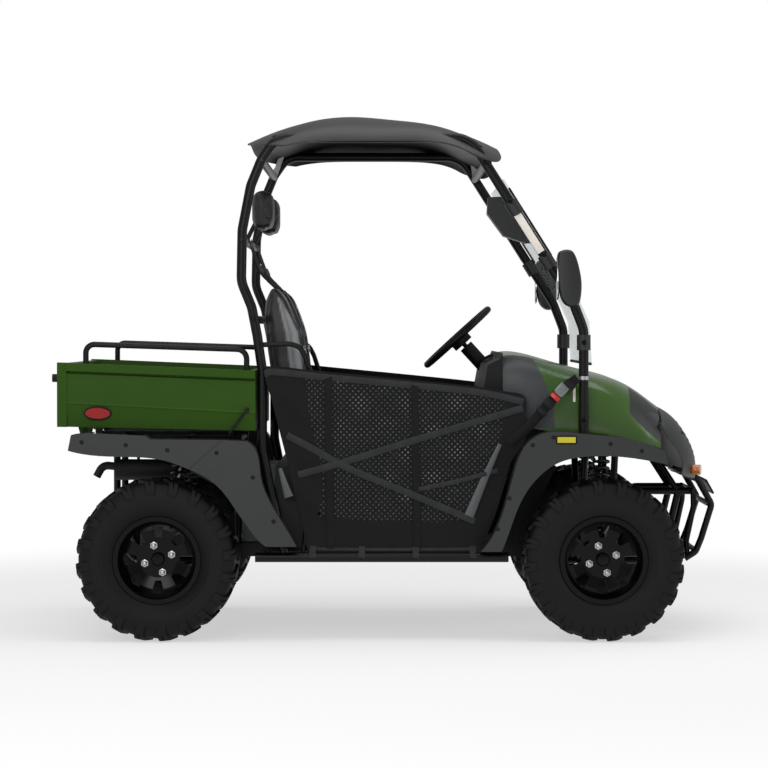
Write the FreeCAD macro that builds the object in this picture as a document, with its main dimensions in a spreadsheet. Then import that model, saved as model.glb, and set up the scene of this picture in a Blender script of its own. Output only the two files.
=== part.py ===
import FreeCAD, Part
import math
import os
import Sketcher

# Side by side utility vehicle: +X forward, +Y to the driver's left, +Z up, origin on the ground
# under the middle of the overall box. Every size is in millimetres.

V = FreeCAD.Vector
doc = FreeCAD.newDocument("side_by_side")
sheet = doc.addObject("Spreadsheet::Sheet", "Sizes")


class Size:
    """A size that carries both its number and the spreadsheet formula behind it."""

    def __init__(self, value, text):
        self.value = float(value)
        self.text = text

    def join(self, other, sign, value):
        return Size(value, f"({self.text} {sign} {text_of(other)})")

    def __add__(self, other):
        return self.join(other, "+", self.value + number(other))

    def __sub__(self, other):
        return self.join(other, "-", self.value - number(other))

    def __mul__(self, other):
        return self.join(other, "*", self.value * number(other))

    def __truediv__(self, other):
        return self.join(other, "/", self.value / number(other))

    def __neg__(self):
        return Size(-self.value, f"(-1 * {self.text})")


def number(item):
    return item.value if isinstance(item, Size) else float(item)


def text_of(item):
    return item.text if isinstance(item, Size) else f"{float(item):.6g}"


rows = []


def size(alias, value):
    """Writes one driving dimension to the sheet and returns it as a Size."""
    row = len(rows) + 1
    rows.append(alias)
    sheet.set(f"A{row}", alias)
    sheet.set(f"B{row}", f"{value}")
    sheet.setAlias(f"B{row}", alias)
    return Size(value, f"Sizes.{alias}")


# Overall and running gear
front_axle = size("front_axle", 838)
rear_axle = size("rear_axle", -895)
tyre_radius = size("tyre_radius", 316)
front_tyre_width = size("front_tyre_width", 205)
rear_tyre_width = size("rear_tyre_width", 250)
tyre_outer_face = size("tyre_outer_face", 685)
lug_height = size("lug_height", 13)
lug_count = size("lug_count", 20)
rim_radius = size("rim_radius", 158)
rim_flange = size("rim_flange", 12)
rim_wall = size("rim_wall", 6)
hub_bore = size("hub_bore", 21)
stud_circle = size("stud_circle", 55)
king_pin = size("king_pin", 523)
steer_arm = size("steer_arm", 75)
arm_rise = size("arm_rise", 85)

# Frame and cage
rail_side = size("rail_side", 250)
rail_low = size("rail_low", 300)
rail_deep = size("rail_deep", 50)
rail_wide = size("rail_wide", 40)
horn_high = size("horn_high", 557)
horn_end = size("horn_end", 1216)
cradle_side = size("cradle_side", 165)
cradle_low = size("cradle_low", 276)
cradle_high = size("cradle_high", 450)
cradle_tube = size("cradle_tube", 14)
tie_tube = size("tie_tube", 12)
sill_side = size("sill_side", 612)
sill_high = size("sill_high", 325)
cage_side = size("cage_side", 590)
cage_tube = size("cage_tube", 19)
cross_tube = size("cross_tube", 16)
cage_bend = size("cage_bend", 110)
hoop_top = size("hoop_top", 1956)
pillar_x = size("pillar_x", 763)
bed_rail_low = size("bed_rail_low", 745)

# Cargo bed
bed_rear = size("bed_rear", -1247)
bed_front = size("bed_front", -513)
bed_half = size("bed_half", 630)
bed_wall = size("bed_wall", 24)
bed_low_rear = size("bed_low_rear", 833)
bed_low_front = size("bed_low_front", 818)
bed_top_rear = size("bed_top_rear", 1082)
bed_top_front = size("bed_top_front", 1052)
gate_thick = size("gate_thick", 28)
gate_face = size("gate_face", -1282)
gate_hinge_z = size("gate_hinge_z", 845)
bed_pivot_x = size("bed_pivot_x", -1212)
bed_pivot_z = size("bed_pivot_z", 806)
rack_tube = size("rack_tube", 11)
rack_side = size("rack_side", 618)

# Cab
wheel_tilt = size("wheel_tilt", 47.7)
wheel_x = size("wheel_x", 296)
wheel_z = size("wheel_z", 1179)
driver_side = size("driver_side", 290)
grip_radius = size("grip_radius", 172)
grip_tube = size("grip_tube", 14)
seat_half = size("seat_half", 215)
net_side = size("net_side", 612)
net_thick = size("net_thick", 6)
skin = size("skin", 4)
floor_high = size("floor_high", 352)


def named(kind, label):
    obj = doc.addObject(kind, label)
    obj.Label = label
    return obj


def bind(obj, prop, item):
    obj.setExpression(prop, text_of(item))


def place(obj, x, y, z, rotation=None):
    """Puts an object at a point whose coordinates stay bound to the sheet."""
    base = V(number(x), number(y), number(z))
    obj.Placement = FreeCAD.Placement(base, rotation or FreeCAD.Rotation())
    bind(obj, "Placement.Base.x", x)
    bind(obj, "Placement.Base.y", y)
    bind(obj, "Placement.Base.z", z)
    return obj


def box(label, x, y, z, length, width, height):
    """A block from its lowest corner and its three sides."""
    obj = named("Part::Box", label)
    bind(obj, "Length", length)
    bind(obj, "Width", width)
    bind(obj, "Height", height)
    return place(obj, x, y, z)


def rod(label, start, direction, radius, length):
    """A round bar from its start point along a direction."""
    obj = named("Part::Cylinder", label)
    bind(obj, "Radius", radius)
    bind(obj, "Height", length)
    return place(obj, *start, FreeCAD.Rotation(V(0, 0, 1), V(*direction)))


def cross_rod(label, x, z, half, radius):
    """A round bar across the vehicle, as long each side of the middle."""
    return rod(label, (x, -half, z), (0, 1, 0), radius, half * 2)


def sketch_in(body, role, points):
    """A closed polygon whose every corner is bound to the sheet."""
    sketch = body.newObject("Sketcher::SketchObject", body.Name + "_sketch")
    plane = [o for o in body.Origin.OriginFeatures if o.Role == role][0]
    sketch.AttachmentSupport = (plane, "")
    sketch.MapMode = "FlatFace"
    flat = [V(number(a), number(b), 0) for a, b in points]
    count = len(points)
    for i in range(count):
        sketch.addGeometry(Part.LineSegment(flat[i], flat[(i + 1) % count]), False)
    for i in range(count):
        sketch.addConstraint(Sketcher.Constraint("Coincident", i, 2, (i + 1) % count, 1))
    for i, (a, b) in enumerate(points):
        for kind, item in (("DistanceX", a), ("DistanceY", b)):
            index = sketch.addConstraint(Sketcher.Constraint(kind, -1, 1, i, 1, number(item)))
            if isinstance(item, Size):
                sketch.setExpression(f"Constraints[{index}]", item.text)
    return sketch


def plate(label, points, middle_y, thick):
    """A side-view outline (x, z) padded across the vehicle, centred on middle_y."""
    body = named("PartDesign::Body", label)
    sketch = sketch_in(body, "XZ_Plane", points)
    pad = body.newObject("PartDesign::Pad", label + "_pad")
    pad.Profile = sketch
    pad.Midplane = True
    bind(pad, "Length", thick)
    place(body, 0, middle_y, 0)
    return body


def turned(label, points, x, y, z):
    """A profile of (radius, offset along Y) revolved about the Y axis through a point."""
    body = named("PartDesign::Body", label)
    sketch = sketch_in(body, "XY_Plane", points)
    spin = body.newObject("PartDesign::Revolution", label + "_spin")
    spin.Profile = sketch
    spin.ReferenceAxis = (sketch, ["V_Axis"])
    spin.Angle = 360
    place(body, x, y, z)
    return body


def bent_path(points, bend):
    """Straight runs joined by tangent arcs, as a bender makes them."""
    edges = []
    start = V(*[number(c) for c in points[0]])
    for i in range(1, len(points) - 1):
        before, corner, after = (V(*[number(c) for c in points[j]]) for j in (i - 1, i, i + 1))
        way_in = (corner - before).normalize()
        way_out = (after - corner).normalize()
        turn = way_in.getAngle(way_out)
        shorter = min((corner - before).Length, (after - corner).Length)
        setback = min(bend * math.tan(turn / 2), 0.45 * shorter)
        radius = setback / math.tan(turn / 2)
        first, last = corner - way_in * setback, corner + way_out * setback
        inward = (way_out - way_in).normalize()
        centre = corner + inward * (radius / math.cos(turn / 2))
        middle = centre - inward * radius
        edges.append(Part.LineSegment(start, first).toShape())
        edges.append(Part.Arc(first, middle, last).toShape())
        start = last
    edges.append(Part.LineSegment(start, V(*[number(c) for c in points[-1]])).toShape())
    return Part.Wire(edges)


def tube(label, points, radius, bend=60):
    """A round bar bent along a route: a circle swept along straight runs and arcs."""
    wire = bent_path(points, number(bend))
    path = named("Part::Feature", label + "_path")
    path.Shape = wire
    circle = named("Part::Circle", label + "_circle")
    bind(circle, "Radius", radius)
    first = wire.Edges[0]
    heading = first.tangentAt(first.FirstParameter)
    place(circle, *[number(c) for c in points[0]], FreeCAD.Rotation(V(0, 0, 1), heading))
    sweep = named("Part::Sweep", label)
    sweep.Sections = [circle]
    sweep.Spine = (path, [f"Edge{i + 1}" for i in range(len(wire.Edges))])
    sweep.Solid = True
    return sweep


def fuse(label, pieces):
    obj = named("Part::MultiFuse", label)
    obj.Shapes = pieces
    return obj


def cut(label, base, tool):
    obj = named("Part::Cut", label)
    obj.Base = base
    obj.Tool = tool
    return obj


def group(label, pieces):
    obj = named("Part::Compound", label)
    obj.Links = pieces
    return obj


def mirrored(label, source):
    """The same piece on the other side of the vehicle."""
    obj = named("Part::Mirroring", label)
    obj.Source = source
    obj.Normal = V(0, 1, 0)
    return obj


def feature(label, shape):
    obj = named("Part::Feature", label)
    obj.Shape = shape
    return obj


def smooth(points):
    """An open smooth edge through a few points."""
    curve = Part.BSplineCurve()
    curve.interpolate([V(*p) for p in points])
    return curve.toShape()


def straight(a, b):
    return Part.LineSegment(V(*a), V(*b)).toShape()


nodes = []


def keep(obj):
    nodes.append(obj)
    return obj


def inset(points, depth):
    """The same open line of (a, b) points moved sideways to its right by a depth."""
    moved = []
    for i, (a, b) in enumerate(points):
        before, after = points[max(i - 1, 0)], points[min(i + 1, len(points) - 1)]
        run, rise = after[0] - before[0], after[1] - before[1]
        length = math.hypot(run, rise)
        moved.append((a + depth * rise / length, b - depth * run / length))
    return moved


def side_wire(edges, y):
    """A closed side-view outline at one depth, from straight (2 points) and smooth edges."""
    built = []
    for run in edges:
        points = [(x, y, z) for x, z in run]
        built.append(straight(*points) if len(points) == 2 else smooth(points))
    return Part.Wire(built)


def slab(edges, y0, y1):
    """The solid between two side planes inside a side-view outline."""
    return Part.Face(side_wire(edges, y0)).extrude(V(0, y1 - y0, 0))


def polygon_slab(points, y0, y1):
    """The same from corners joined by straight edges."""
    return slab([[points[i - 1], points[i]] for i in range(len(points))], y0, y1)


def cylinder_at(start, direction, radius, length):
    return Part.makeCylinder(radius, length, V(*start), V(*direction))


def both_sides(shape):
    """A shape on the right together with its mirror image on the left."""
    return [shape, shape.mirror(V(0, 0, 0), V(0, 1, 0))]


# Wheels: a tyre and a windowed rim at each corner
def closed_solid(faces):
    """One solid from flat faces that meet edge to edge all round."""
    shell = Part.makeShell([Part.Face(Part.makePolygon([*face, face[0]])) for face in faces])
    shell.sewShape()
    solid = Part.Solid(shell)
    if solid.Volume < 0:
        solid.reverse()
    return solid


def tyre(label, x, width, side):
    """A ring of rubber in flat steps, each step raised into a lug on one half of the tread.

    Steps alternate, so the outer and the inner row of lugs are staggered by half a pitch. The end
    of each lug is one flat wall between its own outline and the tread base beside it.
    """
    centre = number(tyre_outer_face - width / 2) * side
    steps = int(lug_count.value) * 2
    pitch = 2 * math.pi / steps
    wide, top = number(width), tyre_radius.value / math.cos(pitch / 2)
    base = top - lug_height.value
    bead = [(rim_radius.value, 0.34), (rim_radius.value + 13, 0.34), (rim_radius.value + 62, 0.485)]
    low = [(base - 34, 0.45), (base, 0.36), (base, 0.03)]
    lug = [(base - 34, 0.45), (top - 38, 0.5), (top, 0.41), (top, 0.03), (base, 0.03)]

    def at(step, point, sign):
        angle = (step - 0.5) * pitch - math.pi / 2
        radius, share = point
        return V(radius * math.cos(angle), share * wide * sign, radius * math.sin(angle))

    faces = []
    for i in range(steps):
        for sign in (1, -1):
            raised = (i % 2 == 0) == (sign == side)
            line = bead + (lug if raised else low)
            for a, b in zip(line, line[1:]):
                faces.append([at(i, a, sign), at(i, b, sign), at(i + 1, b, sign), at(i + 1, a, sign)])
            faces.append([at(i, p, sign) for p in lug + low[1:2]])
        seat, crown = bead[0], low[-1]
        for point in (seat, crown):
            faces.append([at(i, point, 1), at(i, point, -1), at(i + 1, point, -1), at(i + 1, point, 1)])
    body = feature(label, closed_solid(faces))
    return keep(place(body, x, centre, tyre_radius))


def rim(label, x, width, side):
    """A barrel with rolled flanges, a dished face with eight windows, a hub and four nuts."""
    centre = (tyre_outer_face - width / 2) * side
    half = width * 0.34
    face = half * 0.35 * side
    thick = rim_wall * side
    inner = rim_radius - rim_wall
    pieces = [
        turned(
            label + "_barrel",
            [(inner, -half), (rim_radius - 0.5, -half), (rim_radius - 0.5, half), (inner, half)],
            x,
            centre,
            tyre_radius,
        )
    ]
    for name, sign in (("in", -1), ("out", 1)):
        points = [
            (inner, (half - 2) * sign),
            (rim_radius - 0.5, (half - 2) * sign),
            (rim_radius - 0.5, (half + 0.5) * sign),
            (rim_radius + rim_flange, (half + 3) * sign),
            (rim_radius + rim_flange, (half + 8) * sign),
            (inner, (half + 8) * sign),
        ]
        pieces.append(turned(f"{label}_flange_{name}", points, x, centre, tyre_radius))
    disc = turned(
        label + "_disc",
        [
            (hub_bore, face * 0.6),
            (hub_bore + 52, face * 0.6),
            (rim_radius - 40, face),
            (inner + 1, face * 0.8),
            (inner + 1, face * 0.8 - thick),
            (rim_radius - 42, face - thick),
            (hub_bore + 50, face * 0.6 - thick * 1.5),
            (hub_bore, face * 0.6 - thick * 1.5),
        ],
        x,
        centre,
        tyre_radius,
    )
    for i in range(4):
        angle = math.radians(90 * i + 18)
        across = stud_circle * math.cos(angle)
        up = stud_circle * math.sin(angle)
        start = (x + across, centre + face * 0.6 - thick, tyre_radius + up)
        pieces.append(rod(f"{label}_nut_{i}", start, (0, side, 0), 9, 20))
    windows = []
    for i in range(8):
        points = [(-12, 84), (12, 84), (25, 129), (0, 137), (-25, 129)]
        window = plate(f"{label}_window_{i}", points, 0, width)
        turn = FreeCAD.Rotation(V(0, 1, 0), 45 * i)
        windows.append(place(window, x, centre, tyre_radius, turn))
    open_disc = cut(label + "_open", disc, group(label + "_windows", windows))
    return keep(fuse(label, [*pieces, open_disc]))


corners = (
    ("front_right", front_axle, front_tyre_width, -1),
    ("front_left", front_axle, front_tyre_width, 1),
    ("rear_right", rear_axle, rear_tyre_width, -1),
    ("rear_left", rear_axle, rear_tyre_width, 1),
)
for corner, axle, width, side in corners:
    tyre("tyre_" + corner, axle, width, side)
    rim("rim_" + corner, axle, width, side)


# Cage: one bent hoop on each side, from the sill behind the seats to the front fender
def cage_hoop(label, side):
    y = cage_side * side
    route = [
        (-400, sill_side * side, sill_high + 19),
        (-465, y, 625),
        (-488, y, 740),
        (-488, y, 1053),
        (-507, y, 1186),
        (-529, y, 1299),
        (-569, y, 1396),
        (-565, y, 1598),
        (-532, y, 1769),
        (-490, y, 1872),
        (-432, y, hoop_top),
        (318, y, hoop_top),
        (718, y, 1326),
        (pillar_x, y, 1209),
        (pillar_x, y, 735),
    ]
    return keep(tube(label, route, cage_tube, cage_bend))


cage_right = cage_hoop("cage_right", -1)
cage_left = cage_hoop("cage_left", 1)
cage = group("cage", [cage_right, cage_left])

bars = [
    cross_rod("rear_roof_bar", -490, 1868, cage_side, cross_tube),
    cross_rod("front_roof_bar", 380, 1858, cage_side, cross_tube),
    cross_rod("headrest_bar", -566, 1560, cage_side, cross_tube),
    cross_rod("shoulder_bar", -520, 1250, cage_side, cross_tube),
]
cage_crossbars = keep(cut("cage_crossbars", fuse("crossbar_blanks", bars), cage))

# Lower frame: sills, main rails, front cradle with shock towers, rear cradle and bed rails
def frame_side():
    """Everything of the frame that stands on the left side of the middle."""
    rail_y = rail_side - rail_wide / 2
    low_front = [(600, 305), (700, cradle_low), (1110, cradle_low), (1178, horn_high)]
    high_front = [
        (640, 310), (690, cradle_high), (940, cradle_high), (1010, horn_high),
        (horn_end, horn_high),
    ]
    low_rear = [(-600, 310), (-680, cradle_low), (-1030, cradle_low), (-1095, 420), (-1095, 770)]
    high_rear = [(-640, 306), (-700, 430), (-1095, 430)]
    rear_tower = [(790, cradle_side, cradle_high), (790, 250, 620), (790, 318, 735), (790, 372, 748)]
    front_tower = [(910, cradle_side, cradle_high), (910, 250, 620), (910, 318, 745)]
    pieces = [
        rod("sill", (-515, sill_side, sill_high), (1, 0, 0), cage_tube, 985),
        box("main_rail", -620, rail_y, rail_low, 1270, rail_wide, rail_deep),
        tube("cradle_low", [(x, cradle_side, z) for x, z in low_front], cradle_tube),
        tube("cradle_high", [(x, cradle_side, z) for x, z in high_front], cradle_tube),
        tube("cradle_rear", [(x, cradle_side, z) for x, z in low_rear], cradle_tube),
        tube("cradle_rear_high", [(x, cradle_side, z) for x, z in high_rear], tie_tube),
        tube(
            "fascia_stay",
            [(1060, cradle_side, 712), (1084, cradle_side, 700), (1176, cradle_side, horn_high)],
            tie_tube,
        ),
        tube("tower_rear", [*rear_tower, (770, 584, 752)], cradle_tube),
        tube("tower_front", front_tower, cradle_tube),
        rod("rear_post", (-600, rail_side, rail_low), (0, 0, 1), cradle_tube, 450),
        box("bed_rail_bar", -1225, rail_y, bed_rail_low, 640, rail_wide, 40),
        rod("rest_pad", (-620, rail_side, bed_rail_low + 30), (0, 0, 1), 15, 44.4),
        box("pivot_block", bed_pivot_x - 14, rail_y, 780, 28, rail_wide, 26),
        rod("pivot_round", (bed_pivot_x, rail_y, bed_pivot_z), (0, 1, 0), 18, rail_wide),
        rod("pivot_pin", (bed_pivot_x, rail_side - 36, bed_pivot_z), (0, 1, 0), 9.95, 72),
        rod("shock_pin_rear", (785, 318, 745), (1, 0, 0), 8, 50),
        rod("shock_pin_front", (865, 318, 745), (1, 0, 0), 8, 50),
    ]
    return fuse("frame_side", pieces)


frame_ties = (
    (-480, sill_high, sill_side, cross_tube),
    (0, sill_high, sill_side, cross_tube),
    (430, sill_high, sill_side, cross_tube),
    (763, cradle_low, cradle_side, tie_tube),
    (1080, cradle_low, cradle_side, tie_tube),
    (-720, cradle_low, cradle_side, tie_tube),
    (-1000, cradle_low, cradle_side, tie_tube),
    (-1095, 520, cradle_side, tie_tube),
    (-1095, 765, rail_side, tie_tube),
    (-1190, 765, rail_side, tie_tube),
    (-808, 765, 386, tie_tube),
    (-600, 765, rail_side, tie_tube),
    (1176, horn_high, cradle_side, tie_tube),
    (850, cradle_high, cradle_side, tie_tube),
    (630, 320, rail_side, tie_tube),
)
ties = [cross_rod(f"frame_tie_{i}", *tie) for i, tie in enumerate(frame_ties)]
left_frame = frame_side()
frame_blank = fuse("frame_blank", [left_frame, mirrored("frame_side_right", left_frame), *ties])
lower_frame = keep(cut("lower_frame", frame_blank, cage))


# Front suspension: A-arms and coil-over shocks on each side of the cradle
def both(label, maker):
    """A node made of a right piece and a left piece from one function of the side."""
    return keep(group(label, [maker("right", -1), maker("left", 1)]))


def front_arm(name, side):
    outer = king_pin * side
    pieces = []
    for level, z_in, z_out in (("low", cradle_low, 231), ("high", cradle_high, 401)):
        for leg, x in (("rear", 770), ("front", 906)):
            route = [(x, (cradle_side + 14) * side, z_in), (front_axle, (king_pin - 14) * side, z_out)]
            pieces.append(tube(f"front_arm_{level}_{leg}_{name}", route, 11))
        pieces.append(
            rod(f"front_ball_{level}_{name}", (front_axle, outer, z_out - 9), (0, 0, 1), 17, 18),
        )
    return cut(f"front_arm_{name}", fuse(f"front_arm_blank_{name}", pieces), lower_frame)


front_arms = both("front_arms", front_arm)


def spring_shape(foot, top, radius, wire, turns):
    """A coil of six-sided wire between two points, standing on its own axis."""
    axis = V(*top) - V(*foot)
    per_turn, sides = 12, 6
    count = per_turn * turns
    turn = FreeCAD.Rotation(V(0, 0, 1), axis)

    def at(step, corner):
        angle = 2 * math.pi * step / per_turn
        lean = 2 * math.pi * corner / sides
        reach = radius + wire * math.cos(lean)
        rise = axis.Length * step / count + wire * math.sin(lean)
        return V(*foot) + turn.multVec(V(reach * math.cos(angle), reach * math.sin(angle), rise))

    faces = [[at(0, c) for c in range(sides)], [at(count, c) for c in range(sides)]]
    for i in range(count):
        for c in range(sides):
            near, far = at(i, c), at(i + 1, c + 1)
            faces.append([near, at(i, c + 1), far])
            faces.append([near, far, at(i + 1, c)])
    return closed_solid(faces)


def shock(name, label, foot, top):
    """A damper body and rod with end eyes, spring seats and a coil spring around them."""
    way = V(*top) - V(*foot)
    unit = V(way).normalize()
    length = way.Length

    def at(distance):
        return V(*foot) + unit * distance

    body = Part.makeCylinder(19, length * 0.55, at(14), unit)
    body = body.fuse(Part.makeCylinder(9, length - 20, at(10), unit))
    for distance in (0.24, 0.93):
        body = body.fuse(Part.makeCylinder(40, 6, at(length * distance), unit))
    for end in (foot, top):
        body = body.fuse(Part.makeCylinder(14, 30, V(*end) - V(15, 0, 0), V(1, 0, 0)))
    low, high = at(length * 0.24 + 6 + 5), at(length * 0.93 - 5)
    coil = spring_shape(tuple(low), tuple(high), 33, 4.8, 6)
    return feature(f"{label}_{name}", Part.makeCompound([body, coil]))


def front_shock(name, side):
    unit = shock(name, "front_shock", (front_axle.value, 430 * side, 434), (850, 318 * side, 745))
    return cut(f"front_shock_seated_{name}", unit, front_arms)


front_shocks = both("front_shocks", front_shock)


# Rear suspension: two arms, an upright and a shock on each side
def rear_arm(name, side):
    pieces = []
    for level, z_in, z_out in (("low", cradle_low, 250), ("high", 430, 390)):
        for leg, x in (("front", -760), ("rear", -1010)):
            route = [(x, (cradle_side + 14) * side, z_in), (rear_axle, 466 * side, z_out)]
            pieces.append(tube(f"rear_arm_{level}_{leg}_{name}", route, 12))
    return cut(f"rear_arm_{name}", fuse(f"rear_arm_blank_{name}", pieces), lower_frame)


def rear_upright(name, side):
    axle = (rear_axle, 462 * side, tyre_radius)
    web = box(f"rear_upright_web_{name}", rear_axle - 30, 470 * side - 12, 225, 60, 24, 190)
    hub = rod(f"rear_hub_{name}", axle, (0, side, 0), 42, 66)
    spindle = rod(f"rear_spindle_{name}", axle, (0, side, 0), hub_bore - 0.05, 130)
    return fuse(f"rear_upright_{name}", [web, hub, spindle])


def rear_shock(name, side):
    unit = shock(name, "rear_shock", (-862, 395 * side, 421), (-808, 368 * side, 738))
    return cut(
        f"rear_shock_seated_{name}",
        unit,
        group(f"rear_shock_tools_{name}", [rear_arms, lower_frame]),
    )


rear_arms = both("rear_arms", rear_arm)
uprights = group("upright_blanks", [rear_upright("right", -1), rear_upright("left", 1)])
rear_uprights = keep(cut("rear_uprights", uprights, rear_arms))
rear_shocks = both("rear_shocks", rear_shock)


# Power train: one plain engine block, two gearcases, half shafts and the exhaust
engine_block = keep(box("engine_block", -590, -140, 352, 330, 280, 314))


def half_shaft(name, side, x, inner, outer):
    shaft = rod(f"shaft_{name}", (x, inner * side, tyre_radius), (0, side, 0), 12, outer - inner)
    boot_in = rod(f"boot_in_{name}", (x, (inner + 6) * side, tyre_radius), (0, side, 0), 34, 50)
    boot_out = rod(f"boot_out_{name}", (x, (outer - 56) * side, tyre_radius), (0, side, 0), 30, 50)
    return fuse(f"half_shaft_{name}", [shaft, boot_in, boot_out])


gearcases = keep(
    group(
        "gearcases",
        [
            box("front_gearcase", 790, -80, 306, 150, 160, 110),
            box("rear_gearcase", -1010, -90, 306, 230, 180, 140),
        ],
    )
)
drive_shafts = keep(
    group(
        "drive_shafts",
        [
            half_shaft("front_right", -1, front_axle, 80, 468),
            half_shaft("front_left", 1, front_axle, 80, 468),
            half_shaft("rear_right", -1, rear_axle, 90, 458),
            half_shaft("rear_left", 1, rear_axle, 90, 458),
            rod("propeller_shaft", (-780, 0, 372), (1, 0, 0), 16, 190),
        ],
    )
)

muffler = rod("muffler_can", (-1090, -290, 650), (1, 0, 0), 42, 250)
tail_pipe = tube("tail_pipe", [(-1080, -290, 662), (-1140, -290, 668), (-1165, -290, 622)], 16, 40)
down_pipe = tube(
    "down_pipe",
    [(-850, -290, 650), (-780, -290, 650), (-700, -180, 600), (-580, -100, 600)],
    14,
    40,
)
hanger = rod("exhaust_hanger", (-1000, -262, 670), (0, 0, 1), 6, 90)
exhaust_blank = fuse("exhaust_blank", [muffler, tail_pipe, down_pipe, hanger])
exhaust = keep(cut("exhaust", exhaust_blank, group("exhaust_tools", [engine_block, lower_frame])))


# Cab floor, seats and restraints
def floor_shape(y0, y1, toe):
    """A floor sheet with a sloped toe board whose foot stands at x = toe."""
    line = [(-470, 352), (toe, 352), (toe + 85, 575), (toe + 150, 655)]
    return polygon_slab(line + inset(line, 5)[::-1], y0, y1)


outer_floor = [s for s in both_sides(floor_shape(-590, -322, 425))]
inner_floor = floor_shape(-322, 322, 520)
cheek_line = [(425, 347), (520, 347), (670, 655), (575, 655), (505, 575)]
cheeks = both_sides(polygon_slab(cheek_line, -326, -322))
floor_blank = feature("floor_blank", outer_floor[0].multiFuse([outer_floor[1], inner_floor, *cheeks]))
floor_pan = keep(cut("floor_pan", floor_blank, group("floor_tools", [lower_frame, cage])))

plinth = box("plinth_outer", -440, -560, 352, 430, 1120, 323)
plinth_space = box("plinth_space", -436, -556, 340, 422, 1112, 331)
engine_way = box("engine_way", -600, -150, 340, 190, 300, 331)
seat_plinth = keep(
    cut("seat_plinth", plinth, group("plinth_tools", [plinth_space, engine_way, lower_frame, cage]))
)


def seat_back(name, side):
    front = [(-300, 760), (-318, 930), (-339, 1088), (-352, 1200), (-388, 1301), (-421, 1374)]
    rear = [(-470, 1392), (-480, 1280), (-474, 1180), (-455, 1060), (-420, 900), (-405, 760)]
    y = driver_side.value * side
    shape = slab(
        [front, [front[-1], rear[0]], rear, [rear[-1], front[0]]],
        y - seat_half.value,
        y + seat_half.value,
    )
    return feature(f"seat_back_{name}", shape)


def seat_cushion(name, side):
    top = [(-398, 792), (-200, 782), (0, 800), (60, 790)]
    under = [(78, 750), (60, 700), (-398, 675)]
    y = driver_side.value * side
    edges = [top, [top[-1], under[0]], [under[0], under[1]], [under[1], under[2]], [under[2], top[0]]]
    return feature(f"seat_cushion_{name}", slab(edges, y - seat_half.value, y + seat_half.value))


seat_cushions = both("seat_cushions", seat_cushion)
seat_back_blanks = group("seat_back_blanks", [seat_back("right", -1), seat_back("left", 1)])
seat_backs = keep(cut("seat_backs", seat_back_blanks, seat_cushions))


def headrest(name, side):
    y = driver_side * side
    pad = box(f"headrest_pad_{name}", -536, y - 120, 1612, 80, 240, 148)
    stem = rod(f"headrest_stem_{name}", (-566, y, 1560), (0.45, 0, 0.893), 9, 86)
    return fuse(f"headrest_{name}", [pad, stem])


headrests = keep(
    cut(
        "headrests",
        group("headrest_blanks", [headrest("right", -1), headrest("left", 1)]),
        cage_crossbars,
    )
)


def belt(y):
    """One shoulder strap from the headrest bar over the seat back and down its front."""
    line = [
        (-550, 1552), (-474, 1400), (-424, 1382), (-388, 1301), (-352, 1200), (-339, 1088),
        (-318, 930), (-312, 878),
    ]
    return polygon_slab(inset(line, -4) + line[::-1], y - 23, y + 23)


belt_spots = [driver_side.value * side + shift for side in (-1, 1) for shift in (-90, 90)]
belt_blanks = feature("belt_blanks", Part.makeCompound([belt(y) for y in belt_spots]))
belt_tools = group("belt_tools", [seat_backs, cage_crossbars, headrests])
seat_belts = keep(cut("seat_belts", belt_blanks, belt_tools))


def hip_bar(name, side):
    y = cage_side * side
    route = [
        (-500, y, 1151), (-380, y, 1155), (-340, y, 1143), (-318, y, 1100), (-285, y, 1000),
        (-285, y, 700), (-330, y, sill_high),
    ]
    return tube(f"hip_bar_{name}", route, 10, 50)


hip_bars = keep(
    cut(
        "hip_bars",
        group("hip_bar_blanks", [hip_bar("right", -1), hip_bar("left", 1)]),
        group("hip_tools", [cage, lower_frame, floor_pan]),
    )
)

# Body shell over the front: one lofted skin, parted where the real panels meet
shell_rows = (
    (450, (545, 900), (556, 1000), (530, 1072), 1110, 1118),
    (560, (558, 828), (562, 960), (540, 1060), 1102, 1112),
    (680, (562, 812), (562, 920), (536, 1020), 1066, 1078),
    (800, (562, 806), (560, 900), (530, 990), 1034, 1047),
    (917, (560, 790), (552, 870), (515, 950), 998, 1012),
    (1000, (545, 770), (530, 840), (490, 905), 947, 966),
    (1072, (520, 745), (505, 800), (460, 850), 885, 916),
)


def arch_wire(x, low, side_point, shoulder, high, crown, rise=0):
    """One closed cross-section of the front shell, from its inner face out to a skin or further."""
    half = [low, side_point, shoulder, (410, high), (200, (high + 2 * crown) / 3)]
    line = [(-y, z) for y, z in half] + [(0, crown)] + [(y, z) for y, z in reversed(half)]
    under = inset(line, skin.value)
    line = inset(line, rise) if rise else line
    outer = smooth([(x, y, z) for y, z in line])
    inner = smooth([(x, y, z) for y, z in reversed(under)])
    ends = [straight((x, *line[-1]), (x, *under[-1])), straight((x, *under[0]), (x, *line[0]))]
    return Part.Wire([outer, ends[0], inner, ends[1]])


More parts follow.
